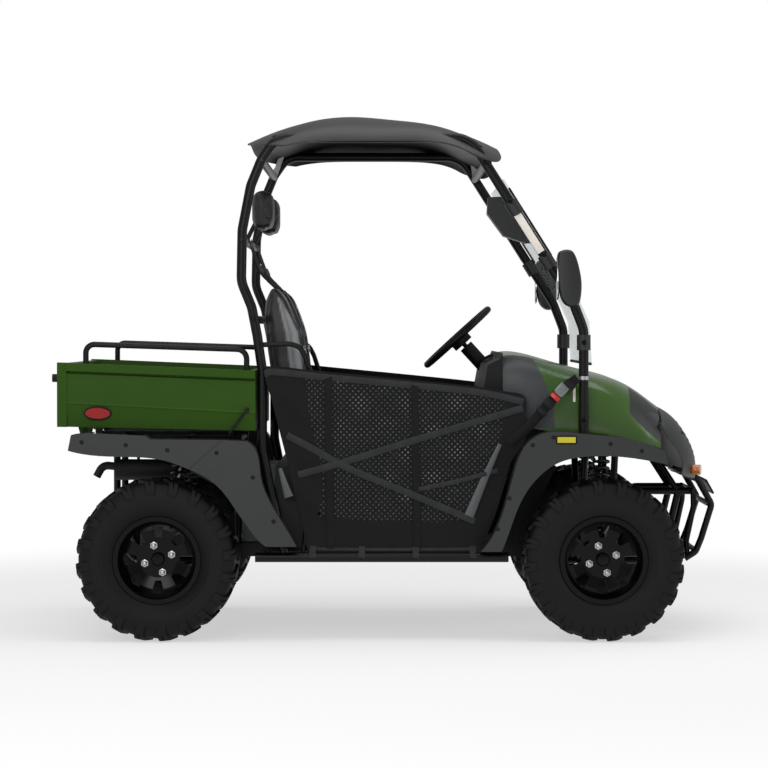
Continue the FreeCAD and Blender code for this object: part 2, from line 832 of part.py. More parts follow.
front_shell = Part.makeLoft([arch_wire(*row) for row in shell_rows], True)
over_shell = Part.makeLoft([arch_wire(*row, -60) for row in shell_rows[:3]], True)
lamp_line = [
    (948, 883), (974, 854), (1010, 818), (1064, 773), (1110, 735), (1200, 735), (1200, 1000),
    (952, 1000),
]
cowl_line = [
    (440, 780), (548, 780), (548, 826), (653, 823), (649, 893), (624, 983), (603, 1033),
    (560, 1120), (440, 1130),
]
lamp_zone = polygon_slab(lamp_line, -650, -400).fuse(polygon_slab(lamp_line, 400, 650))
cowl_zone = polygon_slab(cowl_line, -650, -450).fuse(polygon_slab(cowl_line, 450, 650))
middle_zone = Part.makeBox(700, 900, 700, V(440, -450, 600))
hood_shape = front_shell.common(middle_zone).cut(lamp_zone)
lamp_shape = front_shell.common(lamp_zone)
cowl_shape = front_shell.common(cowl_zone)
side_shape = front_shell.cut(middle_zone).cut(lamp_zone).cut(cowl_zone)
lens_line = [(1012, 880), (1030, 852), (1068, 812), (1085, 830), (1075, 868), (1040, 888)]
lens_zone = polygon_slab(lens_line, -650, 650)
hood = keep(feature("hood", hood_shape))
cowl_sides = keep(feature("cowl_sides", cowl_shape))
front_side_panels = keep(feature("front_side_panels", side_shape))
lamp_surrounds = keep(feature("lamp_surrounds", lamp_shape.cut(lens_zone)))
headlamps = keep(feature("headlamps", lamp_shape.common(lens_zone)))

# Nose: a wrap-round fascia ahead of the hood, lofted across the vehicle
nose_rows = (
    (-505, ((1078, 838), (1100, 795), (1135, 745), (1160, 690), (1155, 640))),
    (-380, ((1082, 878), (1125, 850), (1170, 795), (1208, 715), (1214, 620))),
    (0, ((1080, 905), (1140, 870), (1190, 812), (1240, 710), (1240, 620))),
    (380, ((1082, 878), (1125, 850), (1170, 795), (1208, 715), (1214, 620))),
    (505, ((1078, 838), (1100, 795), (1135, 745), (1160, 690), (1155, 640))),
)


def nose_wire(y, line):
    under = inset(list(line), 5)
    return side_wire([list(line), [line[-1], under[-1]], under[::-1], [under[0], line[0]]], y)


front_fascia = keep(
    feature("front_fascia", Part.makeLoft([nose_wire(*row) for row in nose_rows], True)),
)


# Fender flares: hollow skins with a rolled outer edge
def flare(outer, arch, y_in, y_out):
    """A flare on the right from its outer line (rear foot to front) and its arch line back."""
    solid = slab([outer, [outer[-1], arch[0]], arch, [arch[-1], outer[0]]], -y_out, -y_in)
    hollow_line = inset(outer, 5)
    deep = [(hollow_line[-1][0], 200), (hollow_line[0][0], 200)]
    hollow = slab(
        [hollow_line, [hollow_line[-1], deep[0]], deep, [deep[1], hollow_line[0]]],
        5 - y_out,
        10 - y_in,
    )
    return solid.cut(hollow)


front_outer = [
    (360, 353), (404, 410), (440, 490), (472, 600), (497, 690), (530, 762), (590, 806),
    (670, 816), (753, 808), (860, 797), (952, 783), (1070, 742),
]
front_arch = [
    (1084, 689), (948, 714), (830, 723), (718, 714), (649, 691), (593, 651), (537, 585),
    (506, 527), (468, 423), (440, 353),
]
front_flare = flare(front_outer, front_arch, 560, 690)
front_flares = keep(
    cut(
        "front_flares",
        feature("flare_blank", Part.makeCompound(both_sides(front_flare))),
        group("flare_tools", [cage, front_side_panels, cowl_sides, lower_frame]),
    )
)

rear_top = [(-1222, 803), (-1159, 812), (-936, 801), (-916, 787), (-628, 784), (-545, 780)]
rear_front = [(-545, 780), (-512, 750), (-489, 640), (-440, 520), (-384, 429), (-352, 372)]
rear_arch = [
    (-470, 372), (-493, 390), (-534, 440), (-577, 500), (-627, 573), (-685, 629), (-767, 671),
    (-850, 702), (-1057, 720), (-1234, 743),
]
rear_steps = [[a, b] for a, b in zip(rear_top, rear_top[1:])]
rear_edges = [
    *rear_steps,
    rear_front,
    [rear_front[-1], rear_arch[0]],
    rear_arch,
    [rear_arch[-1], rear_top[0]],
]
rear_blank = slab(rear_edges, -690, -566)
top_under, front_under = inset(rear_top, 5), inset(rear_front, 5)
hollow_line = top_under[:-1] + [(-548, 772)] + front_under[2:]
rear_hollow = slab(
    [
        hollow_line,
        [hollow_line[-1], (-357, 250)],
        [(-357, 250), (-1300, 250)],
        [(-1300, 250), hollow_line[0]],
    ],
    -685,
    -556,
)
seam = [(-613, 812), (-610, 806), (-764, 668), (-768, 672)]
rear_seam = polygon_slab(seam, -692, -687)
rear_flare = rear_blank.cut(rear_hollow).cut(rear_seam)
rear_flares = keep(
    cut(
        "rear_flares",
        feature("rear_flare_blank", Part.makeCompound(both_sides(rear_flare))),
        group("rear_flare_tools", [cage, lower_frame]),
    )
)

# Front bumper: two bent hoops with cross tubes, bolted to the frame horns
bumper_pieces = []
for name, side in (("right", -1), ("left", 1)):
    y = rail_side * side
    route = [
        (1196, y, 628), (1246, y, 612), (1304, y, 508), (1262, y, 372), (1240, y, 318),
        (1196, y, 290),
    ]
    bumper_pieces.append(tube(f"bumper_hoop_{name}", route, 13, 34))
    inner = [
        (1236, 200 * side, horn_high), (1236, 212 * side, 500), (1206, 212 * side, 360),
        (1206, 236 * side, 300),
    ]
    bumper_pieces.append(tube(f"bumper_stay_{name}", inner, 12, 30))
for x, z in ((1296, 508), (1240, 322), (1242, 616), (1236, horn_high.value)):
    bumper_pieces.append(cross_rod(f"bumper_bar_{z}", x, z, rail_side, 11))
for side in (-1, 1):
    bumper_pieces.append(
        rod(
            f"bumper_foot_{side}",
            (horn_end, cradle_side * side, horn_high),
            (1, 0, 0),
            cradle_tube,
            20,
        ),
    )
cover_line = [
    (1178, 634), (1240, 630), (1288, 606), (1318, 552), (1312, 548), (1284, 598), (1238, 622),
    (1178, 626),
]
cover = feature("bumper_cover", polygon_slab(cover_line, -225, 225))
bumper_blank = fuse("bumper_blank", [*bumper_pieces, cover])
front_bumper = keep(
    cut("front_bumper", bumper_blank, group("bumper_tools", [lower_frame, front_fascia])),
)


def signal(name, side):
    return rod(f"signal_{name}", (1209, 395 * side, 655), (1, side * 0.3, 0), 20, 34)


def reflector(name, side):
    return box(f"reflector_{name}", 655, 691.5 * side - 1.5, 774, 70, 3, 22)


signal_lamps = keep(
    cut(
        "signal_lamps",
        group(
            "signal_blanks",
            [signal("right", -1), signal("left", 1), reflector("right", -1), reflector("left", 1)],
        ),
        front_fascia,
    )
)

# Roof: a crowned shell lofted across the cage with turned-up ends
roof_half = (
    (640, ((-398, 1924), (-300, 1940), (-150, 1945), (0, 1945), (150, 1942), (240, 1930), (322, 1896))),
    (
        600,
        ((-470, 1930), (-400, 1958), (-300, 1984), (-50, 1990), (150, 1984), (290, 1944), (404, 1868)),
    ),
    (450, ((-542, 1941), (-440, 1985), (-300, 2028), (0, 2036), (223, 2004), (330, 1962), (447, 1893))),
    (0, ((-565, 1972), (-450, 2023), (-300, 2063), (0, 2062), (216, 2033), (340, 1998), (467, 1920))),
)
roof_rows = roof_half + tuple((-y, line) for y, line in roof_half[-2::-1])


def roof_wire(y, line):
    under = inset(list(line), 6)
    return side_wire([list(line), [line[-1], under[-1]], under[::-1], [under[0], line[0]]], y)


roof_skin = Part.makeLoft([roof_wire(*row) for row in roof_rows], True)
roof_blank = feature("roof_blank", roof_skin)
roof_panel = keep(cut("roof_panel", roof_blank, group("roof_tools", [cage, cage_crossbars])))


def roof_bracket(x, lean, y):
    """A plated bracket that stands on a crossbar and holds the roof panel."""
    line = [(x - 11, 1862), (x + 11, 1862), (x + 11 + lean, 2000), (x - 11 + lean, 2000)]
    trimmed = polygon_slab(line, y - 13, y + 13).cut(roof_panel.Shape).cut(cage_crossbars.Shape)
    return min(trimmed.Solids, key=lambda solid: solid.CenterOfMass.z)


doc.recompute()
bracket_spots = [(x, lean, y) for x, lean in ((-490, 50), (380, -20)) for y in (-561, 561)]
brackets = Part.makeCompound([roof_bracket(*spot) for spot in bracket_spots])
roof_brackets = keep(cut("roof_brackets", feature("bracket_blanks", brackets), cage))

# Windshield: one clear sheet ahead of the pillars, bent at its foot, held by clamps
screen_line = [(452, 1798), (742, 1338), (786, 1240), (796, 1075)]
back_line = inset(screen_line, 5)
screen_shape = polygon_slab(screen_line + back_line[::-1], -575, 575)
windshield = keep(feature("windshield", screen_shape))


def clamp(name, side, spot, angle):
    """A collar round the pillar that the sheet's edge is let into."""
    x, z = spot
    return rod(f"collar_{name}", (x, cage_side * side, z), angle, 27, 60)


def clamps_of(name, side):
    return group(
        f"clamps_{name}",
        [
            clamp(f"upper_{name}", side, (476, 1709), (0.533, 0, -0.846)),
            clamp(f"middle_{name}", side, (606, 1502), (0.533, 0, -0.846)),
            clamp(f"lower_{name}", side, (pillar_x.value, 1190), (0, 0, -1)),
        ],
    )


wiper_line = [(480, 1749), (408, 1746), (404, 1680), (470, 1590), (560, 1560), (596, 1565)]
wiper = feature("wiper_blank", polygon_slab(wiper_line, -170, -60))
clamp_blanks = group("clamp_blanks", [clamps_of("right", -1), clamps_of("left", 1), wiper])
windshield_clamps = keep(
    cut("windshield_clamps", clamp_blanks, group("clamp_tools", [cage, windshield]))
)

def mirror(name, side):
    """A rounded mirror head on a short arm clamped to the pillar."""
    outline = [
        (650, 1490), (668, 1514), (706, 1512), (728, 1470), (743, 1392), (738, 1322),
        (722, 1299), (690, 1300), (664, 1330), (652, 1400),
    ]
    head = polygon_slab(outline, 700, 770)
    if side < 0:
        head = head.mirror(V(0, 0, 0), V(0, 1, 0))
    arm = Part.makeCylinder(9, 112, V(694, 590 * side, 1372), V(0, side, 0.06))
    return feature(f"mirror_{name}", head.fuse(arm))


mirror_blanks = group("mirror_blanks", [mirror("right", -1), mirror("left", 1)])
side_mirrors = keep(cut("side_mirrors", mirror_blanks, cage))

# Dashboard: a closed housing under the cowl, on a firewall that stands on the toe boards
dash_line = [
    (372, 962), (392, 1072), (440, 1096), (452, 1125), (520, 1125), (520, 960), (470, 780),
    (440, 760),
]
dash_top = polygon_slab(dash_line, -545, 545).cut(over_shell)
firewalls = [polygon_slab([(466, 785), (466, 778), (670, 652), (680, 660)], -322, 322)]
firewalls += both_sides(polygon_slab([(466, 785), (466, 775), (572, 650), (582, 655)], -545, -322))
pedals = []
for y in (180, 270):
    pedals.append(polygon_slab([(486, 772), (500, 764), (548, 522), (536, 518)], y - 6, y + 6))
    pedals.append(polygon_slab([(520, 566), (530, 568), (552, 488), (542, 484)], y - 36, y + 36))
dash_blank = feature("dash_blank", dash_top.multiFuse(firewalls + pedals))
dash_tools = group("dash_tools", [cowl_sides, hood, front_side_panels, cage, floor_pan])
dashboard = keep(cut("dashboard", dash_blank, dash_tools))

# Steering: wheel on its column, rack across the frame, tie rods and steered knuckles
column_way = (0.674, 0, -0.738)
wheel_centre = (wheel_x, driver_side, wheel_z)
normal_turn = FreeCAD.Rotation(V(0, 0, 1), V(-0.674, 0, 0.738))
grip = named("Part::Torus", "grip_ring")
bind(grip, "Radius1", grip_radius)
bind(grip, "Radius2", grip_tube)
place(grip, *wheel_centre, normal_turn)
spokes = []
for angle in (90, 210, 330):
    spoke = named("Part::Box", f"spoke_{angle}")
    bind(spoke, "Length", grip_radius)
    spoke.Width = 30
    spoke.Height = 6
    turn = normal_turn * FreeCAD.Rotation(V(0, 0, 1), angle)
    place(spoke, *wheel_centre, turn)
    shift = turn.multVec(V(0, -15, -12))
    spoke.setExpression("Placement.Base.x", f"Sizes.wheel_x + {shift.x:.4f}")
    spoke.setExpression("Placement.Base.y", f"Sizes.driver_side + {shift.y:.4f}")
    spoke.setExpression("Placement.Base.z", f"Sizes.wheel_z + {shift.z:.4f}")
    spokes.append(spoke)
hub_start = (wheel_x - 0.674 * 5, driver_side, wheel_z + 0.738 * 5)
shaft_start = (wheel_x + 0.674 * 30, driver_side, wheel_z - 0.738 * 30)
hub_pad = rod("wheel_hub", hub_start, column_way, 44, 45)
wheel_shaft = rod("wheel_shaft", shaft_start, column_way, 9.95, 90)
steering_wheel = keep(fuse("steering_wheel", [grip, *spokes, hub_pad, wheel_shaft]))

column_start = (wheel_x + 0.674 * 52, driver_side, wheel_z - 0.738 * 52)
column_tube = rod("column_tube", column_start, column_way, 30, 140)
column_bore = rod("column_bore", column_start, column_way, 10, 140)
steering_column = keep(cut("steering_column", cut("column_open", column_tube, column_bore), dashboard))

rack_x = front_axle - steer_arm
rack_z = size("rack_high", 338)
rack_half = size("rack_half", 190)
housing = cross_rod("rack_housing", rack_x, rack_z, rack_half, 24)
housing_bore = cross_rod("rack_bore", rack_x, rack_z, rack_half, 10)
rack_brackets = [box(f"rack_bracket_{y}", rack_x - 8, y - 8, 276, 16, 16, 64) for y in (-120, 120)]
rack_blank = cut("rack_open", fuse("rack_fused", [housing, *rack_brackets]), housing_bore)
steering_rack = keep(cut("steering_rack", rack_blank, group("rack_tools", [lower_frame, gearcases])))


def rod_end(name, side):
    y = king_pin * side
    ring = rod(f"rod_ring_{name}", (rack_x, y, rack_z - 6), (0, 0, 1), 24, 12)
    hole = rod(f"rod_hole_{name}", (rack_x, y, rack_z - 6), (0, 0, 1), 17, 12)
    return cut(f"rod_end_{name}", ring, hole)


rack_bar = cross_rod("rack_bar", rack_x, rack_z, 240, 9.95)
link_bars = [
    rod(f"link_{name}", (rack_x, 238 * side, rack_z), (0, side, 0), 8, 265)
    for name, side in (("right", -1), ("left", 1))
]
boots = [
    rod(f"joint_{name}", (rack_x, 232 * side, rack_z), (0, side, 0), 16, 22)
    for name, side in (("right", -1), ("left", 1))
]
tie_rods = keep(
    fuse("tie_rods", [rack_bar, *link_bars, *boots, rod_end("right", -1), rod_end("left", 1)]),
)


def knuckle(label, side):
    """An upright between the ball joints with a steering arm, a hub barrel and a spindle."""
    y = king_pin * side
    low, high = tyre_radius - arm_rise, tyre_radius + arm_rise
    post = box(label + "_post", front_axle - 20, y - 14, low + 14, 40, 28, arm_rise * 2 - 28)
    barrel = rod(label + "_barrel", (front_axle, y - 14 * side, tyre_radius), (0, side, 0), 44, 38)
    spindle = rod(label + "_spindle", (front_axle, y, tyre_radius), (0, side, 0), hub_bore - 0.05, 100)
    arm = box(label + "_arm", rack_x, y - 9, rack_z - 26, steer_arm, 18, 14)
    arm_end = rod(label + "_arm_end", (rack_x, y, rack_z - 26), (0, 0, 1), 15, 14)
    pin = rod(label + "_pin", (rack_x, y, rack_z - 20), (0, 0, 1), 6, 32)
    return keep(fuse(label, [post, barrel, spindle, arm, arm_end, pin]))


knuckle_right = knuckle("knuckle_right", -1)
knuckle_left = knuckle("knuckle_left", 1)

# Cargo bed: a tapered open box with corner posts, its rails, lamps and lever
def bed_section(x, low, crease, top):
    """The bed's outer cross-section: a creased side under a groove and a folded top flange."""
    half = [
        (618, low),
        (630, crease - 5),
        (633, crease),
        (629, crease + 6),
        (627, top - 42),
        (617, top - 37),
        (617, top - 31),
        (636, top - 31),
        (636, top),
    ]
    line = half + [(-y, z) for y, z in reversed(half)]
    return Part.makePolygon([V(x, y, z) for y, z in line + line[:1]])


bed_ends = [
    bed_section(bed_rear.value, bed_low_rear.value, 926, bed_top_rear.value),
    bed_section(bed_front.value, bed_low_front.value, 886, bed_top_front.value),
]
bed_block = feature("bed_block", Part.makeLoft(bed_ends, True, True))
wall_foot = bed_front - bed_wall
bed_inner = [
    (bed_rear - 10, bed_low_rear + 14),
    (wall_foot, bed_low_front + 14),
    (wall_foot + 6, bed_top_front + 20),
    (bed_rear - 10, bed_top_rear + 20),
]
bed_space = plate("bed_space", bed_inner, 0, bed_half * 2 - bed_wall * 2)
post_line = [
    (gate_face, bed_low_rear), (bed_rear + 2, bed_low_rear - 0.5), (bed_rear + 2, bed_top_rear),
    (gate_face, bed_top_rear + 1),
]
posts = [
    plate(f"bed_post_{name}", post_line, (bed_half - 21) * side, 46)
    for name, side in (("right", -1), ("left", 1))
]
lugs = []
for name, side in (("right", -1), ("left", 1)):
    for spot in (-28, 28):
        lug_line = [(-1232, 792), (-1192, 792), (-1180, 835), (-1244, 836)]
        lugs.append(plate(f"bed_lug_{name}_{spot + 28}", lug_line, rail_side * side + spot, 8))
pivot_hole = cross_rod("pivot_hole", bed_pivot_x, bed_pivot_z, 300, 10)
gate_hole = cross_rod("gate_hole", gate_face + gate_thick / 2, gate_hinge_z, bed_half - 38, 6.05)
bed_shell = cut("bed_shell", bed_block, bed_space)
cargo_bed = keep(
    cut(
        "cargo_bed",
        fuse("bed_blank", [bed_shell, *posts, *lugs]),
        group("bed_holes", [pivot_hole, gate_hole]),
    )
)


def bed_rail(name, side):
    y = rack_side * side
    route = [(-1171, y, 1078), (-1171, y, 1154), (-547, y, 1133), (-547, y, 1050)]
    return cut(f"bed_rail_one_{name}", tube(f"bed_rail_blank_{name}", route, rack_tube, 54), cargo_bed)


bed_rails = both("bed_rails", bed_rail)


def tail_lamp(name, side):
    """An oval lens let into the bed side."""
    oval = Part.Ellipse(V(-1124, 620 * side, 886), 48, 21)
    oval.Axis = V(0, side, 0)
    oval.XAxis = V(1, 0, -0.0204)
    solid = Part.Face(Part.Wire(oval.toShape())).extrude(V(0, 20 * side, 0))
    return cut(f"tail_lamp_{name}", feature(f"lamp_blank_{name}", solid), cargo_bed)


tail_lamps = both("tail_lamps", tail_lamp)

lever_pivot = cylinder_at((-548, -626, 896), (0, -1, 0), 9, 20)
lever_rod = cylinder_at((-540, -641, 907), (-66, 0, -89), 4.5, 125)
lever_blank = feature("lever_blank", lever_pivot.fuse(lever_rod))
bed_lever = keep(cut("bed_lever", lever_blank, cargo_bed))

gate_line = [
    (gate_face, 846), (gate_face + gate_thick, 846), (gate_face + gate_thick, 1076),
    (gate_face, 1078),
]
gate_panel = plate("gate_panel", gate_line, 0, (bed_half - 52) * 2)
gate_hinge = cross_rod("gate_hinge", gate_face + gate_thick / 2, gate_hinge_z, bed_half - 40, 6)
tailgate = keep(fuse("tailgate", [gate_panel, gate_hinge]))
knobs = [
    rod(f"latch_{name}", (gate_face, 480 * side, 1020), (-1, 0, 0), 16, 36)
    for name, side in (("right", -1), ("left", 1))
]
tailgate_latches = keep(group("tailgate_latches", knobs))

# Side nets, belts and pedals
net_line = [
    (-480, 1050), (-437, 1068), (-224, 1046), (359, 988), (533, 950), (535, 780), (482, 700),
    (452, 600), (418, 490), (384, 410), (350, 344), (-300, 344),
]
net_shapes = [polygon_slab(net_line, net_side.value - 3, net_side.value + 3)]
net_blank = feature("net_blank", Part.makeCompound(both_sides(net_shapes[0])))
side_nets = keep(
    cut("side_nets", net_blank, group("net_tools", [cage, lower_frame, front_flares, rear_flares])),
)

doc.recompute()
bad = [o.Label for o in doc.Objects if "Invalid" in o.State or "Error" in o.State]
if bad:
    raise SystemExit(f"failed objects: {bad}")
os.makedirs("parts", exist_ok=True)
bad = [o.Label for o in doc.Objects if "Invalid" in o.State or "Error" in o.State]
if bad:
    raise SystemExit(f"failed objects: {bad}")
for obj in nodes:
    shape = obj.Shape
    if shape.isNull() or not shape.isValid() or not shape.Solids:
        raise SystemExit(f"{obj.Label} has no valid solid")
    shape.exportStep(f"parts/{obj.Label}.step")
    print(obj.Label, len(shape.Solids), round(shape.Volume / 1e6, 2), "litres")
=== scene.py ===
import math

import bmesh
import bpy
import numpy as np
from mathutils import Euler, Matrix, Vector
from mathutils.bvhtree import BVHTree


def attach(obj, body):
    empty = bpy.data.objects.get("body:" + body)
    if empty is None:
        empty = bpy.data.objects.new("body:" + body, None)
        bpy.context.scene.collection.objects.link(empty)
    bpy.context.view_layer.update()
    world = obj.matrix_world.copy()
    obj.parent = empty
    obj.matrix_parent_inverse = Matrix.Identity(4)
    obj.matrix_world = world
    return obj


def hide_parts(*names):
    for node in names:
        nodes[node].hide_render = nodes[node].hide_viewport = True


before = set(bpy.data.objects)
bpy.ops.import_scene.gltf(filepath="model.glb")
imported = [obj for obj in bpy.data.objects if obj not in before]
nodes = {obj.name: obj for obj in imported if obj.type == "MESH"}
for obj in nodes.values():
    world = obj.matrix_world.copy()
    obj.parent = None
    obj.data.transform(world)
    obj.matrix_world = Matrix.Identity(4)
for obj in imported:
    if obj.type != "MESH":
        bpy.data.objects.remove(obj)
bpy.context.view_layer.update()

MM = 0.001
scene = bpy.context.scene


# Studio: a pale floor that fades into a white room, three soft lamps and the camera.
# The camera stands 11 m off the right side at chest height with a long lens, so the far
# tubes show just inside the near ones, as in the photograph.
def colour(code):
    """An sRGB hex value as linear red, green, blue and one."""
    part = [int(code[i : i + 2], 16) / 255 for i in (0, 2, 4)]
    return (*[c / 12.92 if c <= 0.04045 else ((c + 0.055) / 1.055) ** 2.4 for c in part], 1.0)


def add(tree, kind, settings=None, links=None):
    """A node of a kind with its properties and input values set and its inputs joined."""
    new = tree.nodes.new(kind)
    for key, value in (settings or {}).items():
        if isinstance(key, int) or key in new.inputs:
            new.inputs[key].default_value = value
        else:
            setattr(new, key, value)
    for key, source in (links or {}).items():
        tree.links.new(source, new.inputs[key])
    return new


def blank_material(name):
    """A material with nothing in it but its output."""
    material = bpy.data.materials.new(name)
    material.use_nodes = True
    material.node_tree.nodes.clear()
    return material, material.node_tree


FLOOR_HALF = 14.0
FLOOR_FADE = (2.3, 4.4)
FLOOR_GLOW = 0.55
ROOM_GLOW = 0.42
CAMERA_PLACE = (-0.014, -11.0, 1.209)
CAMERA_TILT = math.radians(1.157)
CAMERA_LENS = 125.4

floor_corners = [(-FLOOR_HALF, -FLOOR_HALF, 0), (FLOOR_HALF, -FLOOR_HALF, 0)]
floor_corners += [(FLOOR_HALF, FLOOR_HALF, 0), (-FLOOR_HALF, FLOOR_HALF, 0)]
floor_mesh = bpy.data.meshes.new("floor")
floor_mesh.from_pydata(floor_corners, [], [(0, 1, 2, 3)])
floor = bpy.data.objects.new("floor", floor_mesh)
scene.collection.objects.link(floor)
paper, tree = blank_material("seamless white paper")
floor_spot = add(tree, "ShaderNodeTexCoord")
reach = add(tree, "ShaderNodeVectorMath", {"operation": "LENGTH"}, {0: floor_spot.outputs["Object"]})
near_far = {"From Min": FLOOR_FADE[0], "From Max": FLOOR_FADE[1], "To Min": FLOOR_GLOW}
fade = add(
    tree,
    "ShaderNodeMapRange",
    {"interpolation_type": "SMOOTHSTEP", **near_far},
    {"Value": reach.outputs["Value"]},
)
rays = add(tree, "ShaderNodeLightPath").outputs
larger = {"operation": "MAXIMUM"}
seen = add(tree, "ShaderNodeMath", larger, {0: rays["Is Camera Ray"], 1: rays["Is Glossy Ray"]})
seen = add(tree, "ShaderNodeMath", larger, {0: seen.outputs[0], 1: rays["Is Transmission Ray"]})
product = {"operation": "MULTIPLY"}
share = add(tree, "ShaderNodeMath", product, {0: seen.outputs[0], 1: fade.outputs["Result"]})
matt = add(tree, "ShaderNodeBsdfDiffuse", {"Color": colour("FAFAFA")})
glow = add(tree, "ShaderNodeEmission", {"Color": (1, 1, 1, 1), "Strength": 1.0})
blend = add(tree, "ShaderNodeMixShader", None, {0: share.outputs[0], 1: matt.outputs[0], 2: glow.outputs[0]})
add(tree, "ShaderNodeOutputMaterial", None, {"Surface": blend.outputs[0]})
floor_mesh.materials.append(paper)

world = bpy.data.worlds.new("white room")
world.use_nodes = True
scene.world = world
tree = world.node_tree
tree.nodes.clear()
rays = add(tree, "ShaderNodeLightPath").outputs
seen = add(tree, "ShaderNodeMath", larger, {0: rays["Is Camera Ray"], 1: rays["Is Transmission Ray"]})
room = add(tree, "ShaderNodeBackground", {"Color": (1, 1, 1, 1), "Strength": ROOM_GLOW})
white = add(tree, "ShaderNodeBackground", {"Color": (1, 1, 1, 1), "Strength": 1.0})
blend = add(tree, "ShaderNodeMixShader", None, {0: seen.outputs[0], 1: room.outputs[0], 2: white.outputs[0]})
add(tree, "ShaderNodeOutputWorld", None, {"Surface": blend.outputs[0]})


def lamp(name, place, target, width, height, power):
    """A soft rectangular lamp that looks at a target."""
    data = bpy.data.lights.new(name, "AREA")
    data.shape = "RECTANGLE"
    data.size, data.size_y = width, height
    data.energy = power
    obj = bpy.data.objects.new(name, data)
    obj.location = place
    obj.rotation_euler = (Vector(target) - Vector(place)).to_track_quat("-Z", "Y").to_euler()
    scene.collection.objects.link(obj)


lamp("overhead_softbox", (0.2, -0.6, 4.6), (0, 0, 0.6), 5.0, 3.4, 105)
lamp("side_softbox", (-1.4, -5.4, 2.6), (0.1, 0, 0.8), 2.6, 1.8, 62)
lamp("front_softbox", (5.2, -2.2, 2.4), (0.6, 0, 0.8), 2.0, 2.0, 40)

camera_data = bpy.data.cameras.new("camera")
camera_data.lens = CAMERA_LENS
camera_data.sensor_width = 36.0
camera = bpy.data.objects.new("camera", camera_data)
camera.location = CAMERA_PLACE
camera.rotation_euler = Euler((math.pi / 2 - CAMERA_TILT, 0, 0))
scene.collection.objects.link(camera)
scene.camera = camera
scene.view_settings.view_transform = "Standard"


# Steel tubes: lower frame, cage, bed rails, bumper and suspension arms. Bent steel tube with
# a black powder coat: it has a fine orange-peel skin and a soft broad sheen. The cage is
# bolted together with flanged hexagon screws.
PEEL_MM = 2.5
BLACK_COAT = ("050506", "0B0B0C")
DULL = {"Specular IOR Level": 0.24}


def mottled(tree, tones, scale, detail=3.0):
    """Two tones mixed by noise: the coordinates it reads, the noise itself and the mixed colour."""
    spot = add(tree, "ShaderNodeTexCoord").outputs["Object"]
    noise = add(tree, "ShaderNodeTexNoise", {"Scale": scale, "Detail": detail}, {"Vector": spot})
    ends = {"data_type": "RGBA", 6: colour(tones[0]), 7: colour(tones[1])}
    tone = add(tree, "ShaderNodeMix", ends, {"Factor": noise.outputs["Fac"]})
    return spot, noise.outputs["Fac"], tone.outputs[2]


def surface(name, tones, roughness, patch_mm, grain_mm, grain_depth_mm, **settings):
    """Two tones mottled over patches, roughness that wanders with them and a fine grain as bump."""
    material, tree = blank_material(name)
    spot, patches, tone = mottled(tree, tones, 1 / (patch_mm * MM))
    span = {"To Min": roughness[0], "To Max": roughness[1]}
    rough = add(tree, "ShaderNodeMapRange", span, {"Value": patches})
    grain = add(tree, "ShaderNodeTexNoise", {"Scale": 1 / (grain_mm * MM), "Detail": 2.0}, {"Vector": spot})
    bump = add(tree, "ShaderNodeBump", {"Distance": grain_depth_mm * MM}, {"Height": grain.outputs["Fac"]})
    shader = add(
        tree,
        "ShaderNodeBsdfPrincipled",
        settings,
        {"Base Color": tone, "Roughness": rough.outputs["Result"], "Normal": bump.outputs["Normal"]},
    )
    add(tree, "ShaderNodeOutputMaterial", None, {"Surface": shader.outputs[0]})
    return material


def dress(material, *names):
    """Gives CAD nodes their one material."""
    for name in names:
        slots = nodes[name].data.materials
        slots.clear()
        slots.append(material)


def grid_faces(rows, columns, wrap_rows, wrap_columns):
    """Row and column numbers of the four corners of every face of a grid of points."""
    i = np.arange(rows if wrap_rows else rows - 1)
    j = np.arange(columns if wrap_columns else columns - 1)
    i, j = (part.ravel() for part in np.meshgrid(i, j, indexing="ij"))
    return np.stack([i, i, i + 1, i + 1], 1), np.stack([j, j + 1, j + 1, j], 1)


def run_lengths(points, axis):
    """Distance run along one way of a grid, averaged over the other, with the closing step last."""
    steps = np.linalg.norm(np.roll(points, -1, axis) - points, axis=2).mean(1 - axis)
    return np.concatenate([[0], np.cumsum(steps)])


def make_piece(name, grids, material, body, sharp=40, outward=True):
    """One object from grids of points. A grid is (points, rows close, columns close, ends capped).

    The UV map holds the distance run along the rows and along the columns, in metres.
    """
    points, faces, spread, start = [], [], [], 0
    for grid, wrap_rows, wrap_columns, capped in grids:
        rows, columns = grid.shape[:2]
        i, j = grid_faces(rows, columns, wrap_rows, wrap_columns)
        faces += ((i % rows) * columns + j % columns + start).tolist()
        u, v = run_lengths(grid, 0), run_lengths(grid, 1)
        spread.append(np.stack([u[i], v[j]], 2).reshape(-1, 2))
        if capped:
            for first in (start, start + (rows - 1) * columns):
                faces.append(list(range(first, first + columns)))
            spread.append(np.zeros((2 * columns, 2)))
        points.append(grid.reshape(-1, 3))
        start += rows * columns
    mesh = bpy.data.meshes.new(name)
    mesh.from_pydata(np.concatenate(points).tolist(), [], faces)
    layer = mesh.uv_layers.new(name="UVMap")
    layer.data.foreach_set("uv", np.concatenate(spread).astype(np.float32).ravel())
    return finish_piece(name, mesh, material, body, sharp, outward)


def finish_piece(name, mesh, material, body, sharp=40, outward=True):
    """An object of a mesh: normals out, smooth but for sharp edges, one material, riding on a body."""
    if outward:
        shell = bmesh.new()
        shell.from_mesh(mesh)
        bmesh.ops.recalc_face_normals(shell, faces=shell.faces)
        shell.to_mesh(mesh)
        shell.free()
    mesh.shade_smooth()
    mesh.set_sharp_from_angle(angle=math.radians(sharp))
    mesh.materials.append(material)
    obj = bpy.data.objects.new(name, mesh)
    scene.collection.objects.link(obj)
    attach(obj, body)
    return obj


def unit(vectors):
    """Vectors divided by their own length."""
    return vectors / np.linalg.norm(vectors, axis=-1, keepdims=True)


